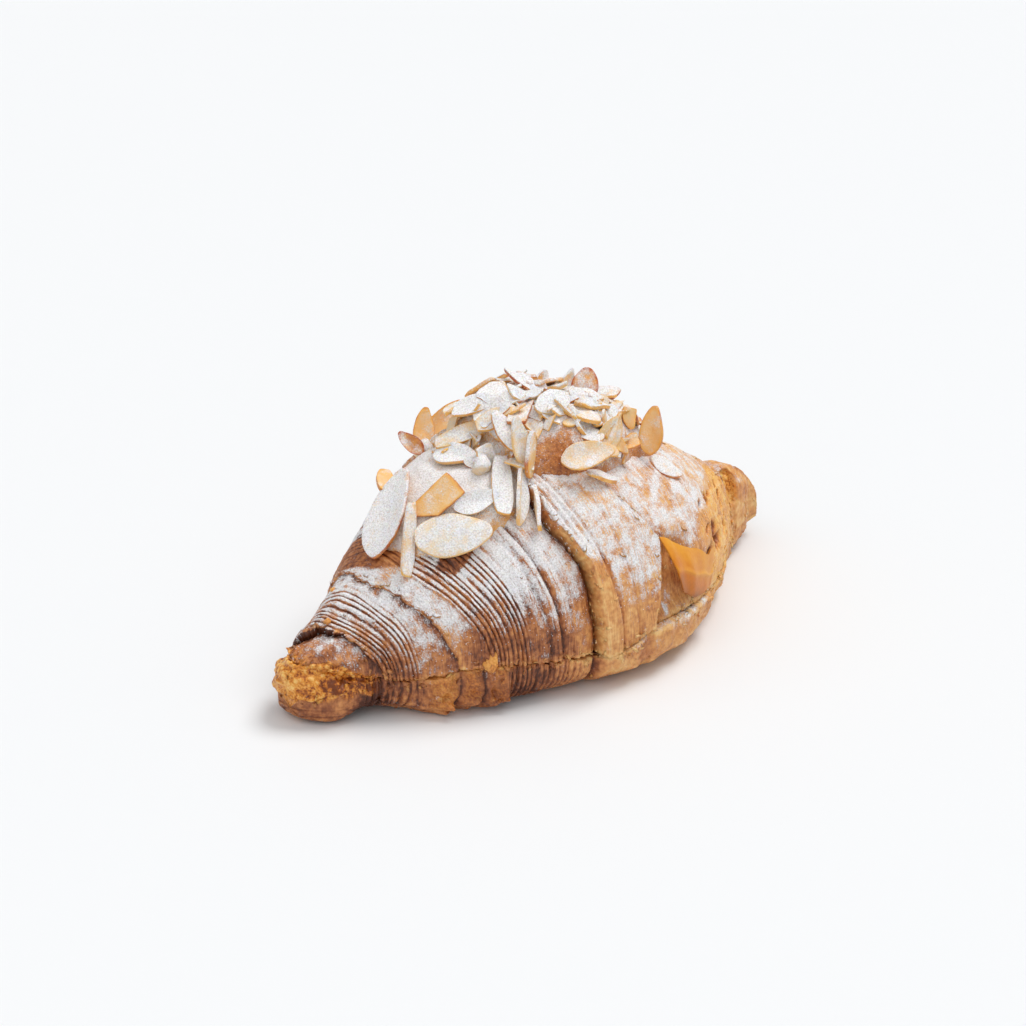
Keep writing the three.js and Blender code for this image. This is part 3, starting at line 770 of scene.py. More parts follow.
def close_below(points, marks):
    """Adds an inner face under a wrap, a little above its edge."""
    inward = [(-1, 1.5), (-1, 0), (0, 0), (0, -1.5)]
    inner = np.stack([points[:, side] for side, _ in inward], 1)
    for i, (side, inset) in enumerate(inward):
        inner[:, i, 1] = inner[:, i, 1] + inset if inset else PLACE_Y + (0.3 if side == 0 else -0.3)
    inner[..., 2] += 0.3
    marks = repeat_marks(marks, len(inward))
    for key, value in (("bare", 1), ("dust", 0), ("ridge", 0), ("flaky", 0)):
        marks[key][:, -len(inward):] = value
    return np.concatenate([points, inner], 1), marks


def make_lid(group, chips, finish):
    """The wraps: name, ends, lips, edges each goes under, points along and around, ridges."""
    wraps = [
        ("lid_tip", (LID_ENDS[0], "tip"), (0.6, -2.5), ("tip",), 90, 150, []),
        ("lid_left_wrap", ("tip", "left"), (0.3, -2.5), ("left",), 150, 230, LID_RIDGES[:1]),
        ("lid_ridged_wrap", ("left", "deep"), (0.35, -3), ("deep",), 310, 240, LID_RIDGES[1:]),
        ("lid_middle_wrap", ("deep", "right"), (0.7, 0.4), (), 150, 260, []),
        ("lid_right_wrap", ("right", "end"), (-2.5, 0.3), ("right",), 260, 260, []),
    ]
    made = [lid_wrap(*wrap) for wrap in wraps]
    return [run_tree(piece, group, {"Chips": chips, "Finish": finish}) for piece in made]


def bare_tip(at, angle, points, marks, level, side):
    """Golden crumb at the left tip, on one side of a level that runs ragged."""
    ragged = ripple("tip crumb", at, angle)
    spot = smooth((level + ragged - points[..., 2]) * side, -0.6, 0.6) * smooth(at, -64, -67)
    marks["bare"] = np.maximum(marks["bare"], spot)
    marks["dust"] *= 1 - spot
    marks["rough"] += 3 * spot


# The lifted flake of crust on the front right, its hollow, and the bare crumb beside it.
FLAP = {"apex": (8.6, 38.8), "top_right": (36, 23), "low_right": (31, 15.5), "low_left": (14.5, 18.5)}
FLAP_LIFT, FLAP_SEAT, FLAP_HALF = 3.4, 0.5, 0.25
HOLLOW_DEPTH = 2.8
# Sugar that fell into the hollow: place, level, half length, half height.
HOLLOW_SUGAR = [(11.2, 20.8, 1.5, 2.4), (8.6, 18, 0.9, 2)]
# Large holes of the bare crumb: place and level.
HOLES = [(42, 26.5), (43, 22.5), (54, 20.5), (34, 23)]
LARGE_HOLE, HOLE_DEPTH, SMALL_HOLES = 1.5, 3, 22


def hollow(at, angle):
    """Depth of the dark hollow between the middle wrap and the lifted flake."""
    return HOLLOW_DEPTH * band(angle, 2.58, 2.76, 3.02, 3.16) * zone("hollow", at)


def pits(at, angle):
    """Depth of the holes in the bare crumb: the large ones, seen in the photograph, and small ones."""
    _, _, height, _, widest = sizes(at, 0 * at)
    z = widest + (height - widest) * np.sin(angle)
    i = np.arange(SMALL_HOLES)
    small = zip(blend(33, 60, chance(i, 91)), blend(16, 36, chance(i, 92)), blend(0.4, 0.8, chance(i, 93)))
    depth = 0 * at
    for hole_at, level, radius in [(*hole, LARGE_HOLE) for hole in HOLES] + list(small):
        far = (((at - hole_at) / 1.7) ** 2 + (z - level) ** 2) / radius**2
        depth = depth + HOLE_DEPTH * np.exp(-far) * smooth(angle, 1.7, 1.9)
    return depth


def bare_patch(at, angle, guess, points, marks):
    """Bare golden crumb at the right end of the lid's front, painted shade in its holes and in the valley
    beside it, and the hollow's look.
    """
    z, holes, dent = points[..., 2], pits(at, angle), hollow(at, angle)
    ragged = ripple("lid crumb", at, angle)
    spot = smooth(at + ragged, 27, 35) * smooth(z + ragged, 38, 32) * smooth(angle, 1.8, 2.1)
    valley = band(at - edge("right", guess), -0.5, 0.2, 1, 2.4) * band(guess, 1.8, 1.95, 2.3, 2.5)
    marks["bare"] = 0.75 * spot * smooth(holes, 1.6, 0.6)
    marks["rough"] += 2.5 * spot
    marks["streaky"] = 1 - 0.8 * spot
    # Painted shade in the holes and in the valley beside the right edge; the bare crumb is paler.
    marks["brown"] += 0.7 * smooth(holes, 0.4, 1.4) - 0.3 * spot
    marks["brown"] += 0.35 * valley - 0.03 * smooth(dent, 0.5, 2.5)
    marks["dust"] *= (1 - 0.85 * spot) * (1 - 0.8 * valley) * smooth(dent, 2, 0.6)
    for heap_at, level, half_long, half_high in HOLLOW_SUGAR:
        heap = bell(at, heap_at, half_long) * bell(z, level, half_high)
        marks["dust"] += 1.2 * heap * (0.8 + ripple("sugar heap", at, angle))


def make_flap(group, finish):
    """The lifted flake: a thin sheet between four corners that curls away from the crust on its left."""
    u, v = np.linspace(0, 1, 70)[None, :], np.linspace(0, 1, 90)[:, None]
    corner = {name: np.array(spot) for name, spot in FLAP.items()}
    left = blend(corner["apex"], corner["low_left"], v)
    right = blend(corner["top_right"], corner["low_right"], v)
    at = blend(left[:, :1], right[:, :1], u) - 2.2 * np.sin(np.pi * v) * (1 - u)
    at = at + 4 * smooth(v, 0.75, 1.05) * (1 - u) ** 2
    z = blend(left[:, 1:], right[:, 1:], u) + ripple("flake level", at, v)
    z = z + ripple("flake top", at) * (1 - v) * smooth(u, 0, 0.15)
    fold = bell(v - 0.2 * u + ripple("flake fold", at), 0.38, 0.06)
    lift = FLAP_SEAT + FLAP_LIFT * (1 - u) ** 1.4 * blend(0.4, 1, np.sin(np.pi * v**0.8))
    uneven = ripple("flake curl", at, v) * (1 - u) + ripple("flake face", at, v)
    lift = lift + uneven + 0.3 * fold
    sheets = []
    for side in (FLAP_HALF, -FLAP_HALF):
        size = sizes(at, wrap_step(at, 3 + 0 * at, ("right",)) + lift + side)
        sheets.append(crust(at, np.pi - angle_at(size, z), size))
    points = np.concatenate([sheets[0], sheets[1][:, ::-1]], 1)
    # Painted shade: the flake darkens towards its bottom, most at the low left where it curls away; a painted
    # highlight runs along the fold, and the ripple is its own uneven tone.
    shade = 0.05 + 0.35 * v + 0.4 * (1 - u) ** 2 * v + ripple("flake tone", at, v) - 0.2 * fold
    shade = np.concatenate([shade, shade[:, ::-1]], 1)
    piece = ring_piece("lifted_flake", points, plain_marks(points, brown=shade, rough=0.4))
    return run_tree(piece, group, {"Finish": finish})


# The foot and the filling.
def foot_grow(at, angle, split):
    """How far the foot stands past its plain sections: steps, rim, waves, knobs on the right, the split."""
    stub = smooth(at, 64, 72)
    rim = blend(RIM_LEFT, RIM_RIGHT, smooth(at, RIM_AT - RIM_BLEND, RIM_AT + RIM_BLEND))
    rim = rim * zone("rim", at)
    waves = ripple("dough", at, angle) * blend(0.6, 1.5, stub) + stub * ripple("right tip", at, angle)
    waves = waves + ripple("knobs", at, angle) * zone("knobs", at)
    return wrap_step(at, angle, names=FOOT_CLEFTS) + rim + waves - end_draw(at) - SPLIT_DEPTH * split


def stub_folds(at, angle):
    """Folds across the right tip, each strayed and broken."""
    folds = 0 * (at + angle)
    for line in STUB_FOLDS:
        whole = smooth(ripple("fold gaps", angle, line), -0.6, 0.4)
        folds = folds + bell(at + ripple("fold line", angle, line), line, 0.8) * whole
    return folds


def front_lumps(at, angle):
    """How far the soft lumps along the front stand out."""
    lumps = 0 * at
    sway = ripple("lump line", at, angle)
    for lump_at, half, out in FOOT_LUMPS:
        lumps = np.maximum(lumps, out * np.clip(1 - ((at + sway - lump_at) / half) ** 2, 0, 1) ** 0.8)
    return lumps


def sink_pocket(at, angle, points):
    """Presses the golden pocket into the front of the right tip and returns its share at each point."""
    p = STUB_POCKET
    far = ((at - p["at"]) / p["half_long"]) ** 2 + ((points[..., 2] - p["level"]) / p["half_high"]) ** 2
    pocket = smooth(far + ripple("pocket", at, angle), 1.3, 0.6) * (angle > 1.9) * (angle < 4)
    points[..., 1] += p["depth"] * pocket
    return pocket


def make_foot(group, chips, finish):
    """The half below the cut, with the whole right tip."""
    lid_end = LID_ENDS[1]
    below_lid = np.arange(FOOT_ENDS[0], lid_end + 0.3, FOOT_STEP)
    at = np.concatenate([below_lid, np.arange(lid_end + 0.7, FOOT_ENDS[1], FOOT_STEP)])[:, None]
    t = np.linspace(0, 1, FOOT_AROUND)[None, :]
    guess = np.pi * (1 + t)
    split = bell(at, SPLIT_AT, SPLIT_HALF) * smooth(guess, 4.9, 4.5)
    folds, lumps = stub_folds(at, guess), front_lumps(at, guess)
    front, *others = sizes(at, foot_grow(at, guess, split) - 0.6 * folds)
    uneven = 0.8 + ripple("lump size", at, guess)
    size = front + lumps * uneven * blend(0.35, 1, smooth(guess, np.pi, np.pi + 0.5)), *others
    torn = ripple("foot edge", at)
    _, _, height, lift, _ = size
    turn = angle_at(size, np.where(at > lid_end + 0.5, blend(lift, height, 0.985), foot_level(at) + torn))
    angle = blend(np.pi - turn, 2 * np.pi + turn, t)
    points, at = crust(at, angle, size), at + 0 * angle
    forms = {"split": split, "folds": folds, "lumps": lumps, "pocket": sink_pocket(at, angle, points)}
    piece = ring_piece("foot", *close_above(points, foot_marks(at, angle, points, forms)))
    return run_tree(piece, group, {"Chips": chips, "Finish": finish})


def foot_marks(at, angle, points, forms):
    """Marks of the crust, changed by the foot's own forms, its bare crumb and the sheets at the left tip."""
    marks = crust_marks(at, angle, points, FOOT_RIDGES, foot_level(at), FOOT_CLEFTS)
    z, front, ragged = points[..., 2], smooth(angle, 4.7, 4.4), ripple("foot crumb", at, angle)
    lumpy = zone("lumps", at) * smooth(z + ragged, 3, 5)
    beside_lid = zone("beside lid", at) * smooth(z + ragged, 11, 14) * smooth(angle, 1.7, 2)
    below_lid = smooth(at + ragged, 33, 38) * smooth(at, 64, 60) * smooth(z + ragged, 3, 6) * front
    crumb = np.maximum(0.6 * np.maximum(beside_lid, below_lid), forms["pocket"])
    marks["bare"] = np.maximum(lumpy * blend(0, 0.5, smooth(forms["lumps"], 2, 3.5)), crumb)
    marks["rough"] += 2.5 * marks["bare"] + 2 * lumpy + 2 * smooth(at, -17, -13)
    on_rim = (0.4 * smooth(at, -14, -10) + 0.2 * smooth(at, 8, 16)) * smooth(at, 32, 24)
    marks["dust"] = marks["dust"] * smooth(at, 58, 66) + on_rim * front * smooth(z, 4, 11)
    marks["dust"] *= 1 - smooth(forms["pocket"], 0, 0.3)
    bare_tip(at, angle, points, marks, 8 + 0 * at, -1)
    marks["brown"] += foot_browning_and_shade(at, angle, z, lumpy, forms)
    marks["streaky"] = 1 - 0.75 * np.maximum(np.maximum(smooth(at, -18, -14), lumpy), smooth(at, -66, -69))
    sheets = smooth(at, -66, -70) * smooth(z, 6.5, 5)
    marks["turn"] = blend(marks["turn"], z / 2.2 + ripple("tip sheets", at), sheets)
    marks["ridge"] = blend(marks["ridge"], 0.3 * MM, sheets)
    return marks


def foot_browning_and_shade(at, angle, z, lumpy, forms):
    """What the foot's forms add to its browning, and painted shade: between the lumps, in the split, along
    the folds and over the pocket, with a painted highlight on the lumps' tops.
    """
    lumps, pocket, level = forms["lumps"], forms["pocket"], STUB_POCKET["level"]
    blotch = ripple("blotches", at, angle)
    # Painted shade in the split and along the folds across the right tip.
    brown = 0.1 * zone("dark ridges", at) + 0.7 * forms["split"] + 0.22 * forms["folds"]
    # Painted shade between the lumps and a painted highlight on their tops.
    brown = brown + lumpy * (0.08 + 0.6 * smooth(lumps, 2.2, 0.6) - 0.08 * smooth(lumps, 2, 3.5))
    brown = brown + 0.35 * zone("dark tip", at) - 0.05 * smooth(at, -68, -72)
    brown = brown + 0.13 * blotch * smooth(at, -18, -14) - 0.12 * smooth(at, 86, 88)
    # Painted shade on the pocket's upper wall; the pocket itself is pale crumb.
    return brown + 0.35 * band(pocket, 0, 0.3, 0.5, 0.9) * smooth(z, level, level + 4) - 0.6 * pocket


def close_above(points, marks):
    """Closes the foot over its top and at both ends."""
    shares = (0.05, 0.3, 0.5, 0.7, 0.95)
    top = np.stack([blend(points[:, -1], points[:, 0], k) for k in shares], 1)
    points, marks = np.concatenate([points, top], 1), repeat_marks(marks, len(shares))
    marks["flaky"][:, -len(shares):] = 0
    caps = points[[0, -1]].mean(1, keepdims=True) + 0 * points[[0, -1]]
    marks = {key: np.concatenate([value[:1], value, value[-1:]], 0) for key, value in marks.items()}
    return np.concatenate([caps[:1], points, caps[1:]], 0), marks


def make_filling(group, finish):
    """The golden layer between the halves, flush with them and rough where it shows at the left tip."""
    at = np.concatenate([np.arange(CREAM_ENDS[0], -62, 0.22), np.arange(-62, CREAM_ENDS[1], 2)])[:, None]
    flat, wall = np.linspace(0, 1, 30)[1:-1, None], np.linspace(0, 1, 32)[None, :]
    tip = smooth(at, -64, -70)
    hollow_at, half, depth = TIP_HOLLOW
    lumpy = ripple("filling", at, wall)
    sunk = depth * bell(at, hollow_at, half) * band(wall, 0.2, 0.5, 0.8, 1)
    inset = blend(2.6, -0.5, tip) + (lumpy + sunk) * tip
    size = sizes(at + 0 * wall, wrap_step(at, 3 + 0 * at) * smooth(at, -70, -64) - inset - end_draw(at))
    inside = 0.8 * tip - 0.2
    side = angle_at(size, blend(foot_level(at) - inside, lid_level(at) + inside, wall))
    behind, ahead = crust(at + 0 * side, side, size), crust(at + 0 * side, np.pi - side, size)[:, ::-1]
    over, under = blend(behind[:, -1:], ahead[:, :1], flat), blend(ahead[:, -1:], behind[:, :1], flat)
    points = np.concatenate([behind, over, ahead, under], 1)
    middle = points.mean(1, keepdims=True) + 0 * points
    points = np.concatenate([middle[:1], points, middle[-1:]], 0)
    # Painted shade in the sunken middle of the crumb at the left tip; it also grows darker towards the right.
    sunken = bell(points[..., 0], -77, 3.5) * bell(points[..., 2], 12, 3.2)
    shade = 0.05 + 1.1 * sunken + 0.6 * smooth(points[..., 0], -79, -70)
    piece = ring_piece("filling", points, plain_marks(points, brown=shade, rough=3.5, bare=1))
    return run_tree(piece, group, {"Finish": finish, "Grain size": 1.4 * MM})


# The topping: cream, flaked almonds and sugar.
def make_cream(group, finish):
    """The mound of cream on the crown, running out thin to the left."""
    spokes, rings = 360, 130
    turn = np.linspace(0, 2 * np.pi, spokes, endpoint=False)[None, :]
    far = np.linspace(0, 60, 241)[:, None]
    thick = cream_thickness(LUMP_CENTRE[0] + far * np.cos(turn), LUMP_CENTRE[1] + far * np.sin(turn))
    reach = np.max(np.where(thick > 0.5, far, 0), 0)[None, :]
    share = np.linspace(1, 0.004, rings)[:, None]
    x = LUMP_CENTRE[0] + share * reach * np.cos(turn)
    y = LUMP_CENTRE[1] + share * reach * np.sin(turn)
    lumpy = 0.9 * noise(x / 7, y / 7, 51) + 0.5 * noise(x / 3.1, y / 3.1, 52)
    body, steep = cream_thickness(x, y), np.hypot(*top_slope(x, y))
    points = np.stack([x, y, crust_height(x, y) + body + lumpy * smooth(body, 1, 6)], -1)
    points = np.concatenate([points[:1] - np.array([0, 0, 3]), points], 0)
    body, steep = [np.concatenate([value[:1], value], 0) for value in (body, steep)]
    bald, left = bell(points[..., 0], -8, 7) * bell(points[..., 1], -19, 5), smooth(points[..., 0], -10, -20)
    dust = blend(1.15, 0.7, smooth(steep, 0.6, 1.4)) * (1 - 0.8 * bald) * (1 - 0.05 * left)
    brown = 0.38 + 0.06 * smooth(body, 7, 2) + 0.26 * bald - 0.3 * left
    piece = ring_piece("cream", points, plain_marks(points, brown=brown, dust=dust, rough=2.5, bare=0.3))
    return run_tree(piece, group, {"Finish": finish})


# Flaked almonds as in the part: x, y, turn, pitch, roll, long, wide, kind.
FLAKES = [
    (-47.5, 4.5, 17, 4, -4, 27, 15, "whole"),
    (-40.6, -13.8, -21, 4, -6, 21, 12.5, "curved"),
    (-38.8, -6.2, -3, 12, 14, 19, 11, "square"),
    (-48.6, -5.8, 47, 6, 62, 24, 4.5, "long"),
    (-32, -13, -11, 4, 10, 13, 7, "whole"),
    (-24, -13.5, 60, 5, 8, 21, 6.5, "long"),
    (-21.5, -17, 62, 6, 34, 17, 6.5, "whole"),
    (-18.5, -20.5, 64, 6, 66, 16, 4.5, "long"),
    (-27, 2, -60, 6, 12, 13, 8, "whole"),
    (-21, -4.5, 70, 40, 30, 11, 6, "broken"),
    (-16.8, -7.1, 86, 10, 20, 13, 6, "curved"),
    (-15.5, -10.6, 71, 24, 34, 13, 6, "whole"),
    (-14.2, -13.9, 70, 10, 60, 13, 5, "curved"),
    (-20, 4, -34, -14, 27, 21, 5.5, "long"),
    (-16.5, -2.5, -24, 3, 12, 13, 6, "long"),
    (-40, 14, 40, 8, 60, 13, 5.5, "long"),
    (-27.2, 17.8, 141, 72, -86, 9, 5, "whole"),
    (-18.8, 22.6, -32, 56, 96, 12, 6.5, "whole"),
    (-10.3, 25.3, -36, 24, 92, 16, 7.5, "whole"),
    (25.5, -14.6, 81, 32, -70, 14, 7.5, "whole"),
    (7.4, -18.2, 48, 28, -32, 11, 5, "whole"),
    (16, -17.8, 11, 57, -45, 8, 5, "broken"),
    (30, -20, -35, 2, 6, 11, 8, "curved"),
    (11.7, -18.8, 87, -11, -25, 8, 4, "shard"),
    (-1.3, -19.9, 3, 29, -31, 15, 8.5, "whole"),
    (0.5, -24.1, -29, 25, -16, 11, 5, "long"),
    (15.4, -1.5, 53, 71, -10, 9, 8, "curved"),
    (12.6, 1.8, 18, 69, 58, 7, 4, "shard"),
    (20.1, -12.2, 85, 41, -47, 8, 5, "broken"),
    (15.4, 15.7, -63, 59, 151, 8, 5, "whole"),
    (-16, 5.5, -35, -11, 26, 16, 6, "long"),
    (-21.5, 3, 2, 18, 26, 6, 3, "shard"),
    (-14, -1.5, -13, 22, 17, 12, 6, "broken"),
]
# Kinds of slice: how much is left of its blunt end, its pointed end and both sides; how pointed; how bent;
# how far the blunt end is cut aslant.
KINDS = {
    "whole": (1, 1, 1, 1, 0.35, 0.8, 0),
    "curved": (1, 1, 1, 1, 0.25, -0.5, 0),
    "broken": (0.9, 0.4, 0.8, 1, 0.3, 0.6, 0.4),
    "long": (0.85, 0.8, 0.9, 1, 0.15, 0.3, 0),
    "square": (0.72, 0.68, 0.66, 0.7, 0.1, 0.4, -0.6),
    "shard": (0.75, 1, 0.95, 1, 0.6, 0.4, 0.4),
}
# Flakes that differ from the rest, by their place in the list, and the toast and sugar of each group.
GOLDEN, ROASTED, TANNED = [2, 15, 17, 18, 19, 21, 23, 28], [16, 26], [13, 14, 20, 24]
TONES = [(GOLDEN, 0.6, 0.15), (ROASTED, 0.85, 0.4), (TANNED, 0.45, 0.45)]
THIN_SUGAR = {1: 0.58}
# Round crumbs that lie on the topping: x, y, radius.
CRUMBS = [(-25.5, -7, 2.9), (-24, 20, 2.9)]
# Where further slices are spread, where the small ones lie, and the bare front that they are moved away from.
SPREAD = {"x": 4, "y": 1, "half_x": 25, "half_y": 20}
NEST = {"x": 2, "y": 0, "half_x": 29, "half_y": 21}
BALD = {"left": -14, "right": -2, "front": -13, "move": 15}
FLAKE_THICK, FRAGMENT_THICK, FLAKE_SINK, FRAGMENT_SINK, FLAKE_STAND = 1.1, 0.7, 0.3, 0.9, 0.3
SCATTERED, FLAT, FRAGMENTS = 24, 84, 110


def spread_flakes(first, count, spread, tilt, long, wide):
    """Flakes spread over the mound by the golden angle, each turned and sized by chance."""
    i = np.arange(count)
    far, turn = np.sqrt((i + 0.5) / count), i * np.pi * (3 - np.sqrt(5)) + first

    def pick(low, high, salt):
        return blend(low, high, chance(i + first, salt))

    x = spread["x"] + spread["half_x"] * far * np.cos(turn)
    y = spread["y"] + spread["half_y"] * far * np.sin(turn)
    x = np.where((y < BALD["front"]) & (x > BALD["left"]) & (x < BALD["right"]), x + BALD["move"], x)
    names = [list(KINDS)[k] for k in pick(1, len(KINDS), 6).astype(int)]
    angles = pick(0, 360, 1), pick(-tilt[0], tilt[0], 2), pick(-tilt[1], tilt[1], 3)
    return list(zip(x, y, *angles, pick(*long, 4), pick(*wide, 5), names))


def slice_mesh(name, cuts, point, bend, slant, salt, around, steps):
    """A slice of almond of unit length, width and thickness: an oval, more pointed and cut off as told."""
    turn = np.linspace(0, 2 * np.pi, around, endpoint=False)
    c, ragged = np.cos(turn), 1 + 0.04 * noise(2 + 2.2 * np.cos(turn), 2 + 2.2 * np.sin(turn), salt)
    x = 0.5 * np.clip(c, -cuts[0], cuts[1]) * ragged
    y = 0.5 * np.clip(np.sin(turn) * (1 - point * smooth(c, -0.5, 1)), -cuts[2], cuts[3]) * ragged
    x = x + slant * y * smooth(x, 0.25, -0.35)
    face = np.linspace(0.02, 0.95, steps)
    skin = smooth(face, 0.9, 0.99)
    spread = np.concatenate([face, [0.985, 1, 1, 0.985], face[::-1]])[:, None]
    level = np.concatenate([0 * face + 0.5, [0.48, 0.38, -0.38, -0.48], 0 * face - 0.5])[:, None]
    rim = np.concatenate([skin, [1, 1, 1, 1], skin[::-1]])[:, None]
    px, py = spread * x, spread * y
    pz = level + bend * (2 * py) ** 2 + 0.35 * noise(3 + 2.5 * px, 3 + 2.5 * py, salt + 3)
    return grid_mesh(name, np.stack([px, py, pz], -1)[:, ::-1] / MM, {"rim": rim})


def spin(axis, angle):
    """Rotation matrices about one axis."""
    m = np.zeros((len(angle), 3, 3))
    a, b = [(1, 2), (2, 0), (0, 1)][axis]
    m[:, axis, axis] = 1
    m[:, a, a] = m[:, b, b] = np.cos(angle)
    m[:, b, a], m[:, a, b] = np.sin(angle), -np.sin(angle)
    return m


def lay_flakes(f, thick, sink):
    """Middles and turns of flakes, from the slope of the surface under each."""
    x, y = f[:, 0], f[:, 1]
    slope_x, slope_y = top_slope(x, y)
    normal = np.stack([-slope_x, -slope_y, 1 + 0 * x], -1)
    normal /= np.linalg.norm(normal, axis=1, keepdims=True)
    lengthwise = np.array([1.0, 0, 0]) - normal[:, :1] * normal
    lengthwise /= np.linalg.norm(lengthwise, axis=1, keepdims=True)
    surface = np.stack([lengthwise, np.cross(normal, lengthwise), normal], -1)
    turn, pitch, roll = np.radians(f[:, 2]), -np.radians(f[:, 3]), np.radians(f[:, 4])
    stand = np.abs(np.sin(pitch)) * f[:, 5] + np.abs(np.sin(roll)) * f[:, 6]
    up = FLAKE_STAND * stand + thick / 2 - sink
    middle = np.stack([x, y, top_height(x, y)], -1) + normal * up[:, None]
    turned = surface @ spin(2, turn) @ spin(1, pitch) @ spin(0, roll)
    return middle, np.array([Matrix(m).to_euler("XYZ")[:] for m in turned])


def shape_set(name, meshes):
    kinds = bpy.data.collections.new(name)
    for mesh in meshes:
        kinds.objects.link(bpy.data.objects.new(mesh.name, mesh))
    return kinds


def crumb_mesh(name, salt):
    """A lumpy crumb of unit radius."""
    turn = np.linspace(0, 2 * np.pi, 14, endpoint=False)[None, :]
    rise = np.linspace(-1.57, 1.57, 9)[:, None]
    x, y, z = np.cos(rise) * np.cos(turn), np.cos(rise) * np.sin(turn), np.sin(rise) + 0 * turn
    far = 0.9 + 0.3 * noise(3 + 1.5 * x + 0.7 * z, 3 + 1.5 * y + 1.1 * z, salt)
    return grid_mesh(name, np.stack([x, y, z], -1) * far[..., None] / MM, {"rim": 0})


def chip_mesh(name, salt):
    """A torn chip of crust: a ragged bent sheet of unit half length."""
    ring = np.arange(8)
    turn, far = ring * np.pi / 4, 0.55 + 0.45 * chance(ring, salt)
    x, y = far * np.cos(turn), 0.6 * far * np.sin(turn)
    points = np.concatenate([np.stack([x, y, 0.3 * x * x], -1), [(0, 0, 0.14), (0, 0, -0.1)]])
    after, middle = (ring + 1) % 8, 0 * ring + 8
    faces = np.concatenate([np.stack([ring, after, middle], -1), np.stack([after, ring, middle + 1], -1)])
    return array_mesh(name, points, faces, {})


def almond_shapes():
    """Every kind of slice, all of them again but coarser for the fragments, and a crumb."""
    shapes = []
    for around, steps in ((44, 6), (18, 3)):
        for *cuts, point, bend, slant in KINDS.values():
            i = len(shapes)
            shapes.append(slice_mesh(f"slice_{i:02d}", cuts, point, bend, slant, 61 + i, around, steps))
    return shapes + [crumb_mesh("slice_crumb", 81)]


def almond_tones(f):
    """How toasted each flake is, and how much sugar lies on it."""
    index, right = np.arange(len(f)), smooth(f[:, 0], 17, 23)
    toast = 0.1 + 0.6 * chance(index, 9) + 0.15 * right
    dust = 1.1 - 0.5 * chance(index, 10) ** 3 - 0.3 * right
    far = np.hypot((f[:, 0] - SPREAD["x"]) / SPREAD["half_x"], (f[:, 1] - SPREAD["y"]) / SPREAD["half_y"])
    tan = (far > 0.62) & (index >= len(FLAKES)) & (chance(index, 11) < 0.45)
    for flakes, tone, sugar in TONES + [(tan, 0.45, 0.5)]:
        toast[flakes], dust[flakes] = tone, sugar
    for flake, sugar in THIN_SUGAR.items():
        dust[flake] = sugar
    return toast, dust


def make_almonds(group, finish):
    """All the slices, fragments and crumbs of the topping."""
    shapes = almond_shapes()
    large = FLAKES + spread_flakes(0, SCATTERED, SPREAD, (24, 30), (9, 15), (5, 8))
    small = spread_flakes(300, FLAT, NEST, (16, 22), (7, 15), (3.6, 6.5))
    small += spread_flakes(500, FRAGMENTS, NEST, (40, 50), (4.5, 10), (2, 4))
    f = np.array([flake[:-1] for flake in large + small], float)
    fragment = np.arange(len(f)) >= len(large)
    thick = np.where(fragment, FRAGMENT_THICK, FLAKE_THICK)
    kind = np.array([list(KINDS).index(flake[-1]) for flake in large + small]) + len(KINDS) * fragment
    middle, turned = lay_flakes(f, thick, np.where(fragment, FRAGMENT_SINK, FLAKE_SINK))
    toast, dust = almond_tones(f)
    x, y, radius = np.array(CRUMBS).T
    middle = np.concatenate([middle, np.stack([x, y, top_height(x, y) + radius / 2], -1)])
    turned = np.concatenate([turned, np.zeros((len(x), 3))])
    size = np.concatenate([np.stack([f[:, 5], f[:, 6], thick], -1), np.stack([radius] * 3, -1)])
    marks = {"toast": np.append(toast, 0.3 + 0 * x), "dust": np.append(dust, 1 + 0 * x)}
    kind = np.append(kind, 0 * x + len(shapes) - 1)
    piece = point_cloud("almonds", middle, marks, {"turned": turned, "size": size * MM}, kind)
    return run_tree(piece, group, {"Shapes": shape_set("slices", shapes), "Finish": finish})


# Crumbs on the crust, as x, y, z, radius, thickness, browning and sugar; flat ones stand facing out.
LOOSE = [
    (-72.3, 0.9, 26.6, 1.2, 1, 0.1, 0),
    (-64.3, 8.9, 30, 0.8, 1, 0.1, 0),
    (-73.1, -4.6, 20.2, 1.5, 0.7, 0.4, 0.3),
    (-41.2, -30, 16.6, 3.4, 0.25, 0.25, 0),
]


def make_crumbs(group, finish):
    shapes = [crumb_mesh(f"crumb_{i}", 83 + i) for i in range(3)]
    x, y, z, radius, flat, brown, dust = np.array(LOOSE).T
    index = np.arange(len(x))
    turned = np.stack([1.05 + 0 * x, 0 * x, 6 * chance(index, 3)], -1)
    long, wide = [radius * (0.8 + 0.4 * chance(index, salt)) for salt in (4, 5)]
    size = np.stack([long, wide, radius * flat], -1)
    marks = {"brown": brown, "dust": dust, "bare": 0.7 + 0 * x}
    vectors = {"turned": turned, "size": size * MM}
    piece = point_cloud("crumbs", np.stack([x, y, z], -1), marks, vectors, index % len(shapes))
    return run_tree(piece, group, {"Shapes": shape_set("crumb shapes", shapes), "Finish": finish})


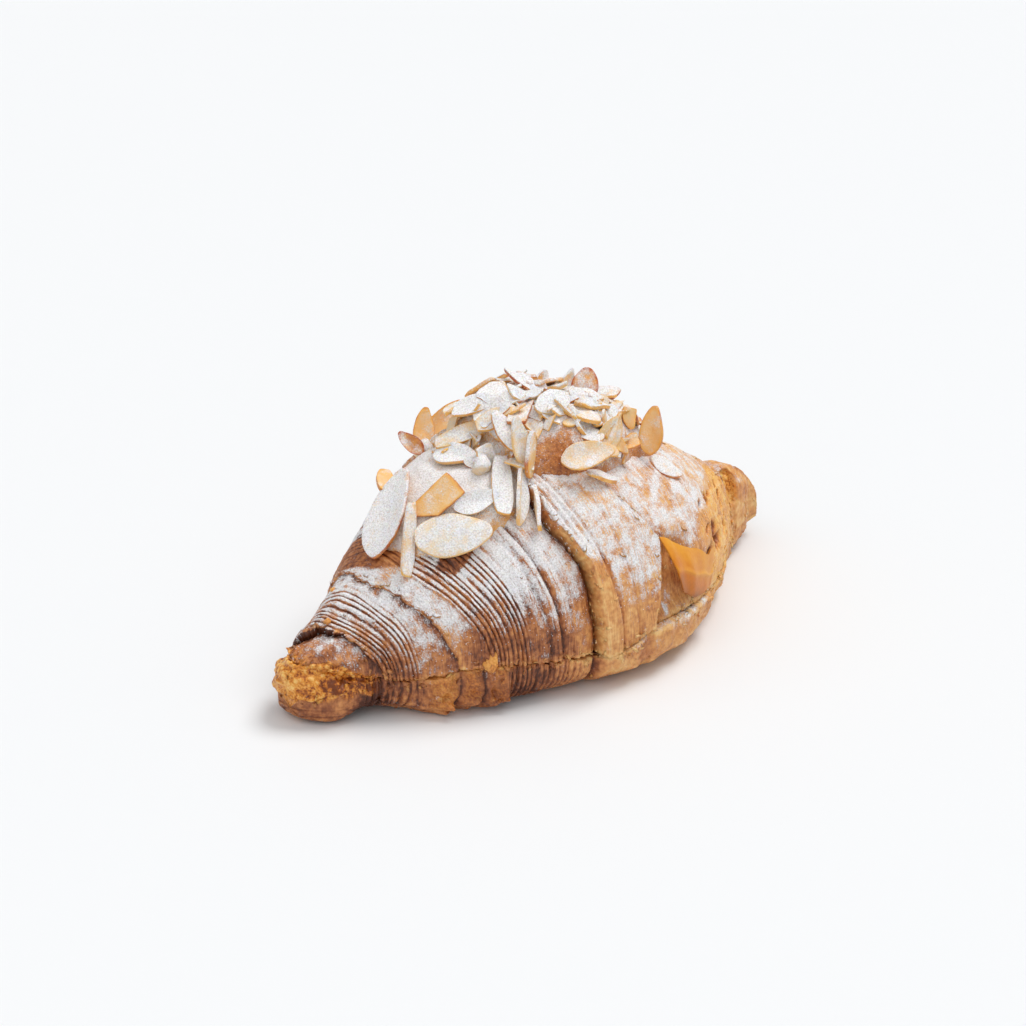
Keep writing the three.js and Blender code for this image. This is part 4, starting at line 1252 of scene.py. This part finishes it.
def strewn_surface(name, pieces):
    """One mesh of the pieces' surfaces that says how thick sugar grains lie at each point."""
    points, faces, strewn = [], [], []
    for piece in pieces:
        mesh = piece.data
        mesh.calc_loop_triangles()
        co, tri = np.empty(3 * len(mesh.vertices)), np.empty(3 * len(mesh.loop_triangles), np.int32)
        mesh.vertices.foreach_get("co", co)
        mesh.loop_triangles.foreach_get("vertices", tri)
        faces.append(tri.reshape(-1, 3) + sum(len(p) for p in points))
        points.append(co.reshape(-1, 3))
        lying = get_mark(mesh, "dust") * smooth(get_mark(mesh, "up"), -0.4, 0.6)
        lying = np.clip(lying * (1 - 0.7 * get_mark(mesh, "groove")), 0, 1)
        strewn.append(lying**1.5 * (1 - 0.5 * lying))
    marks = {"strewn": np.concatenate(strewn)}
    return add_object(name, array_mesh(name, np.concatenate(points), np.concatenate(faces), marks))


def get_mark(mesh, name):
    value = np.zeros(len(mesh.vertices), np.float32)
    if name in mesh.attributes:
        mesh.attributes[name].data.foreach_get("value", value)
    return value


def make_grains(name, group, pieces, finish):
    return run_tree(strewn_surface(name, pieces), group, {"Finish": finish})


# Materials.
def srgb(r, g, b):
    """A colour as it is seen, from 0 to 255, in the light-linear values that shaders take."""
    c = np.array([r, g, b]) / 255
    return (*np.where(c <= 0.04045, c / 12.92, ((c + 0.055) / 1.055) ** 2.4), 1.0)


def new_material(name):
    material = bpy.data.materials.new(name)
    material.use_nodes = True
    return material, Tree(material.node_tree), material.node_tree.nodes["Principled BSDF"]


def mark(t, name):
    return t.node("ShaderNodeAttribute", attribute_name=name).outputs["Fac"]


def texture(t, where, size, detail=2.0):
    """A noise with grains of about a size."""
    inputs = {"Vector": where, "Scale": 1 / (size * MM), "Detail": detail}
    return t.node("ShaderNodeTexNoise", inputs).outputs[0]


def speckle(t, size, detail=2.0):
    return texture(t, t.node("ShaderNodeTexCoord").outputs["Object"], size, detail)


def streaks(t, size):
    """Noise drawn out round the roll."""
    across = t.math("DIVIDE", mark(t, "round"), STREAK)
    flow = t.node("ShaderNodeCombineXYZ", {"X": mark(t, "run"), "Y": across})
    return texture(t, flow, size)


def swing(t, value, amount):
    """A noise value centred on nought."""
    return t.times(t.minus(value, 0.5), amount)


def add_all(t, *values):
    total = values[0]
    for value in values[1:]:
        total = t.plus(total, value)
    return total


def colour_ramp(t, value, stops):
    node = t.node("ShaderNodeValToRGB", {0: value})
    ramp = node.color_ramp
    while len(ramp.elements) < len(stops):
        ramp.elements.new(0.5)
    for element, (position, colour) in zip(ramp.elements, stops):
        element.position = position
        element.color = srgb(*colour)
    return node.outputs["Color"]


def mix_colour(t, share, a, b):
    node = t.node("ShaderNodeMix", data_type="RGBA")
    for socket, value in ((0, share), (6, a), (7, b)):
        t.feed(node.inputs[socket], value)
    return node.outputs[2]


def give_depth(skin, weight, radius):
    """Lets some light into the surface."""
    skin.inputs["Subsurface Weight"].default_value = weight
    skin.inputs["Subsurface Radius"].default_value = radius
    skin.inputs["Subsurface Scale"].default_value = 1.5 * MM


# Colours from pale to dark; for the crumb and sugar, from dark to pale.
CRUST_STOPS = [
    (0.0, (244, 197, 130)), (0.25, (228, 164, 98)), (0.5, (200, 130, 77)),
    (0.75, (152, 87, 49)), (1.0, (86, 42, 22)),
]
CRUMB_STOPS = [(0.2, (122, 58, 14)), (0.32, (192, 108, 32)), (0.45, (232, 154, 58)), (0.65, (250, 202, 118))]
ALMOND_STOPS = [(0.0, (248, 232, 204)), (0.4, (242, 212, 168)), (0.75, (246, 186, 98)), (1.0, (190, 100, 54))]
GOLD_STOPS = [(0.0, (236, 164, 50)), (0.4, (212, 122, 26)), (1.0, (120, 58, 16))]
# The dark end of the sugar's colours is partly painted shade between its grains and partly its own greyish
# translucency.
SUGAR_STOPS = [(0.36, (218, 215, 214)), (0.5, (238, 237, 238)), (0.62, (250, 250, 252))]
SUGAR = (240, 240, 242)


def sugar_cover(t, dust, drift, low, high, most):
    """Share of the surface hidden by sugar: specks where it is thin, nearly all where it is thick."""
    specks = add_all(t, dust, swing(t, speckle(t, 0.4), 0.9), swing(t, speckle(t, 3.5, 4.0), 1.7), drift)
    return t.ramp(specks, low, high, 0.0, most)


def dusted(t, skin, bare, sugar, bump_height):
    """Colour, gloss and fine bumps of a surface under sugar."""
    # Grey specks in the sugar: partly painted shade between grains, partly the sugar's translucency.
    grains = colour_ramp(t, speckle(t, 0.45), SUGAR_STOPS)
    t.feed(skin.inputs["Base Color"], mix_colour(t, sugar, bare, grains))
    skin.inputs["Specular IOR Level"].default_value = 0.4
    t.feed(skin.inputs["Roughness"], t.ramp(sugar, 0.0, 0.5, 0.36, 0.9))
    height = t.plus(bump_height, t.times(sugar, 0.6))
    bump = t.node("ShaderNodeBump", {"Height": height, "Strength": 0.5, "Distance": 0.4 * MM})
    t.feed(skin.inputs["Normal"], bump)


def crust_material():
    """Baked crust with bare crumb where marked, under sugar that lies thin on slopes and in grooves."""
    material, t, skin = new_material("crust")
    wide, mid, fine = speckle(t, 7.0), speckle(t, 1.3, 4.0), speckle(t, 0.55)
    flow, groove, streaky = streaks(t, 0.4), mark(t, "groove"), mark(t, "streaky")
    tone = add_all(t, mark(t, "brown"), swing(t, wide, 0.6), swing(t, mid, 0.85))
    # The groove adds painted shade in the ridges' grooves.
    tone = add_all(t, tone, t.times(swing(t, flow, 0.8), streaky), t.times(groove, 0.28))
    pale = add_all(t, 0.49, swing(t, mark(t, "grain"), 0.7), swing(t, wide, 0.6), swing(t, fine, 0.6))
    pale = t.plus(pale, t.times(mark(t, "brown"), -0.25))
    baked, crumb = colour_ramp(t, tone, CRUST_STOPS), colour_ramp(t, pale, CRUMB_STOPS)
    bare = mix_colour(t, mark(t, "bare"), baked, crumb)
    dust = t.times(mark(t, "dust"), t.ramp(mark(t, "up"), -0.4, 0.6))
    dust = t.times(dust, t.minus(1.0, t.times(groove, 0.75)))
    sugar = sugar_cover(t, dust, swing(t, flow, 0.9), 0.28, 0.95, 0.95)
    layered = t.times(t.times(flow, streaky), t.minus(1.0, mark(t, "bare")))
    dusted(t, skin, bare, sugar, t.plus(fine, layered))
    give_depth(skin, 0.08, (1.0, 0.5, 0.2))
    return material


def almond_material():
    material, t, skin = new_material("almond")
    mid, fine, rim = speckle(t, 2.2), speckle(t, 0.55), mark(t, "rim")
    tone = add_all(t, mark(t, "toast"), swing(t, mid, 0.4), t.times(rim, 0.3))
    nut = colour_ramp(t, tone, ALMOND_STOPS)
    dust = t.times(mark(t, "dust"), t.ramp(mark(t, "up"), -0.1, 0.6))
    dust = t.minus(dust, t.times(rim, 0.2))
    dusted(t, skin, nut, sugar_cover(t, dust, swing(t, mid, 0.5), 0.0, 0.8, 0.96), fine)
    give_depth(skin, 0.25, (1.0, 0.6, 0.3))
    return material


def golden_material():
    """The smooth inner side of the lifted flake."""
    material, t, skin = new_material("golden flake")
    tone = add_all(t, mark(t, "brown"), swing(t, speckle(t, 5.0), 0.35), swing(t, speckle(t, 0.8), 0.2))
    t.feed(skin.inputs["Base Color"], colour_ramp(t, tone, GOLD_STOPS))
    skin.inputs["Roughness"].default_value = 0.4
    skin.inputs["Specular IOR Level"].default_value = 0.3
    give_depth(skin, 0.1, (1.0, 0.5, 0.15))
    return material


def plain_material(name, colour, roughness):
    material, _, skin = new_material(name)
    skin.inputs["Base Color"].default_value = srgb(*colour)
    skin.inputs["Roughness"].default_value = roughness
    return material


# Stage: a white table, its half length in metres, even soft light and the photograph's camera.
TABLE_HALF, TABLE_COLOUR = 4.0, (236, 237, 238)
SKY_COLOUR, SKY_STRENGTH = (0.97, 0.985, 1.0, 1), 0.36
SUNS = [  # name, direction towards it, strength, spread in degrees
    ("key", (0.5, -0.08, 1.0), 1.78, 30),
    ("top", (-0.45, 0.0, 1.0), 0.6, 80),
    ("fill", (-0.5, -0.6, 0.9), 0.45, 80),
]
AIM = np.array([-2.8 + PLACE_X, 2.8 + PLACE_Y, 36])
AZIMUTH, ELEVATION, DISTANCE, LENS = -40, 27, 720, 90.2


def make_stage():
    corners = [(x * TABLE_HALF, y * TABLE_HALF, 0) for x, y in ((-1, -1), (1, -1), (1, 1), (-1, 1))]
    mesh = bpy.data.meshes.new("table")
    mesh.from_pydata(corners, [], [(0, 1, 2, 3)])
    mesh.materials.append(plain_material("table", TABLE_COLOUR, 0.8))
    add_object("table", mesh)
    world = bpy.data.worlds.new("studio")
    world.use_nodes = True
    sky = world.node_tree.nodes["Background"]
    sky.inputs["Color"].default_value = SKY_COLOUR
    sky.inputs["Strength"].default_value = SKY_STRENGTH
    bpy.context.scene.world = world
    for sun in SUNS:
        add_sun(*sun)


def add_sun(name, towards, strength, spread_deg):
    light = bpy.data.lights.new(name, "SUN")
    light.energy = strength
    light.angle = np.radians(spread_deg)
    lamp = add_object(name, light)
    lamp.rotation_euler = Vector(towards).to_track_quat("Z", "Y").to_euler()


def make_camera():
    a, e = np.radians(AZIMUTH), np.radians(ELEVATION)
    back = Vector((np.sin(a) * np.cos(e), -np.cos(a) * np.cos(e), np.sin(e)))
    camera = bpy.data.cameras.new("camera")
    camera.lens, camera.sensor_width, camera.clip_start = LENS, 36, 0.05
    eye = add_object("camera", camera)
    eye.location = Vector(AIM * MM) + back * DISTANCE * MM
    eye.rotation_euler = back.to_track_quat("Z", "Y").to_euler()
    bpy.context.scene.camera = eye
    bpy.context.scene.view_settings.view_transform = "Standard"


def attach(piece, node):
    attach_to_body(piece, "root")
    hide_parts(node)


# The pieces, each attached to the solid that it stands for.
laminated, set_pieces, grains = crust_tree(), pieces_tree(), grain_tree()
crust_look, almond_look, sugar_look = crust_material(), almond_material(), plain_material("sugar", SUGAR, 0.9)
chips = shape_set("chips", [chip_mesh(f"chip_{i}", 95 + i) for i in range(4)])
lid = make_lid(laminated, chips, crust_look)
lid += [make_flap(laminated, golden_material()), make_crumbs(set_pieces, crust_look)]
topping = [make_cream(laminated, crust_look), make_almonds(set_pieces, almond_look)]
lid_sugar = make_grains("sugar_on_lid", grains, lid, sugar_look)
top_sugar = make_grains("sugar_on_topping", grains, topping, sugar_look)
for piece in lid + [lid_sugar]:
    attach(piece, "croissant_lid")
for piece in topping + [top_sugar]:
    attach(piece, "almond_topping")
attach(make_foot(laminated, chips, crust_look), "croissant_foot")
attach(make_filling(laminated, crust_look), "almond_filling")
make_stage()
make_camera()
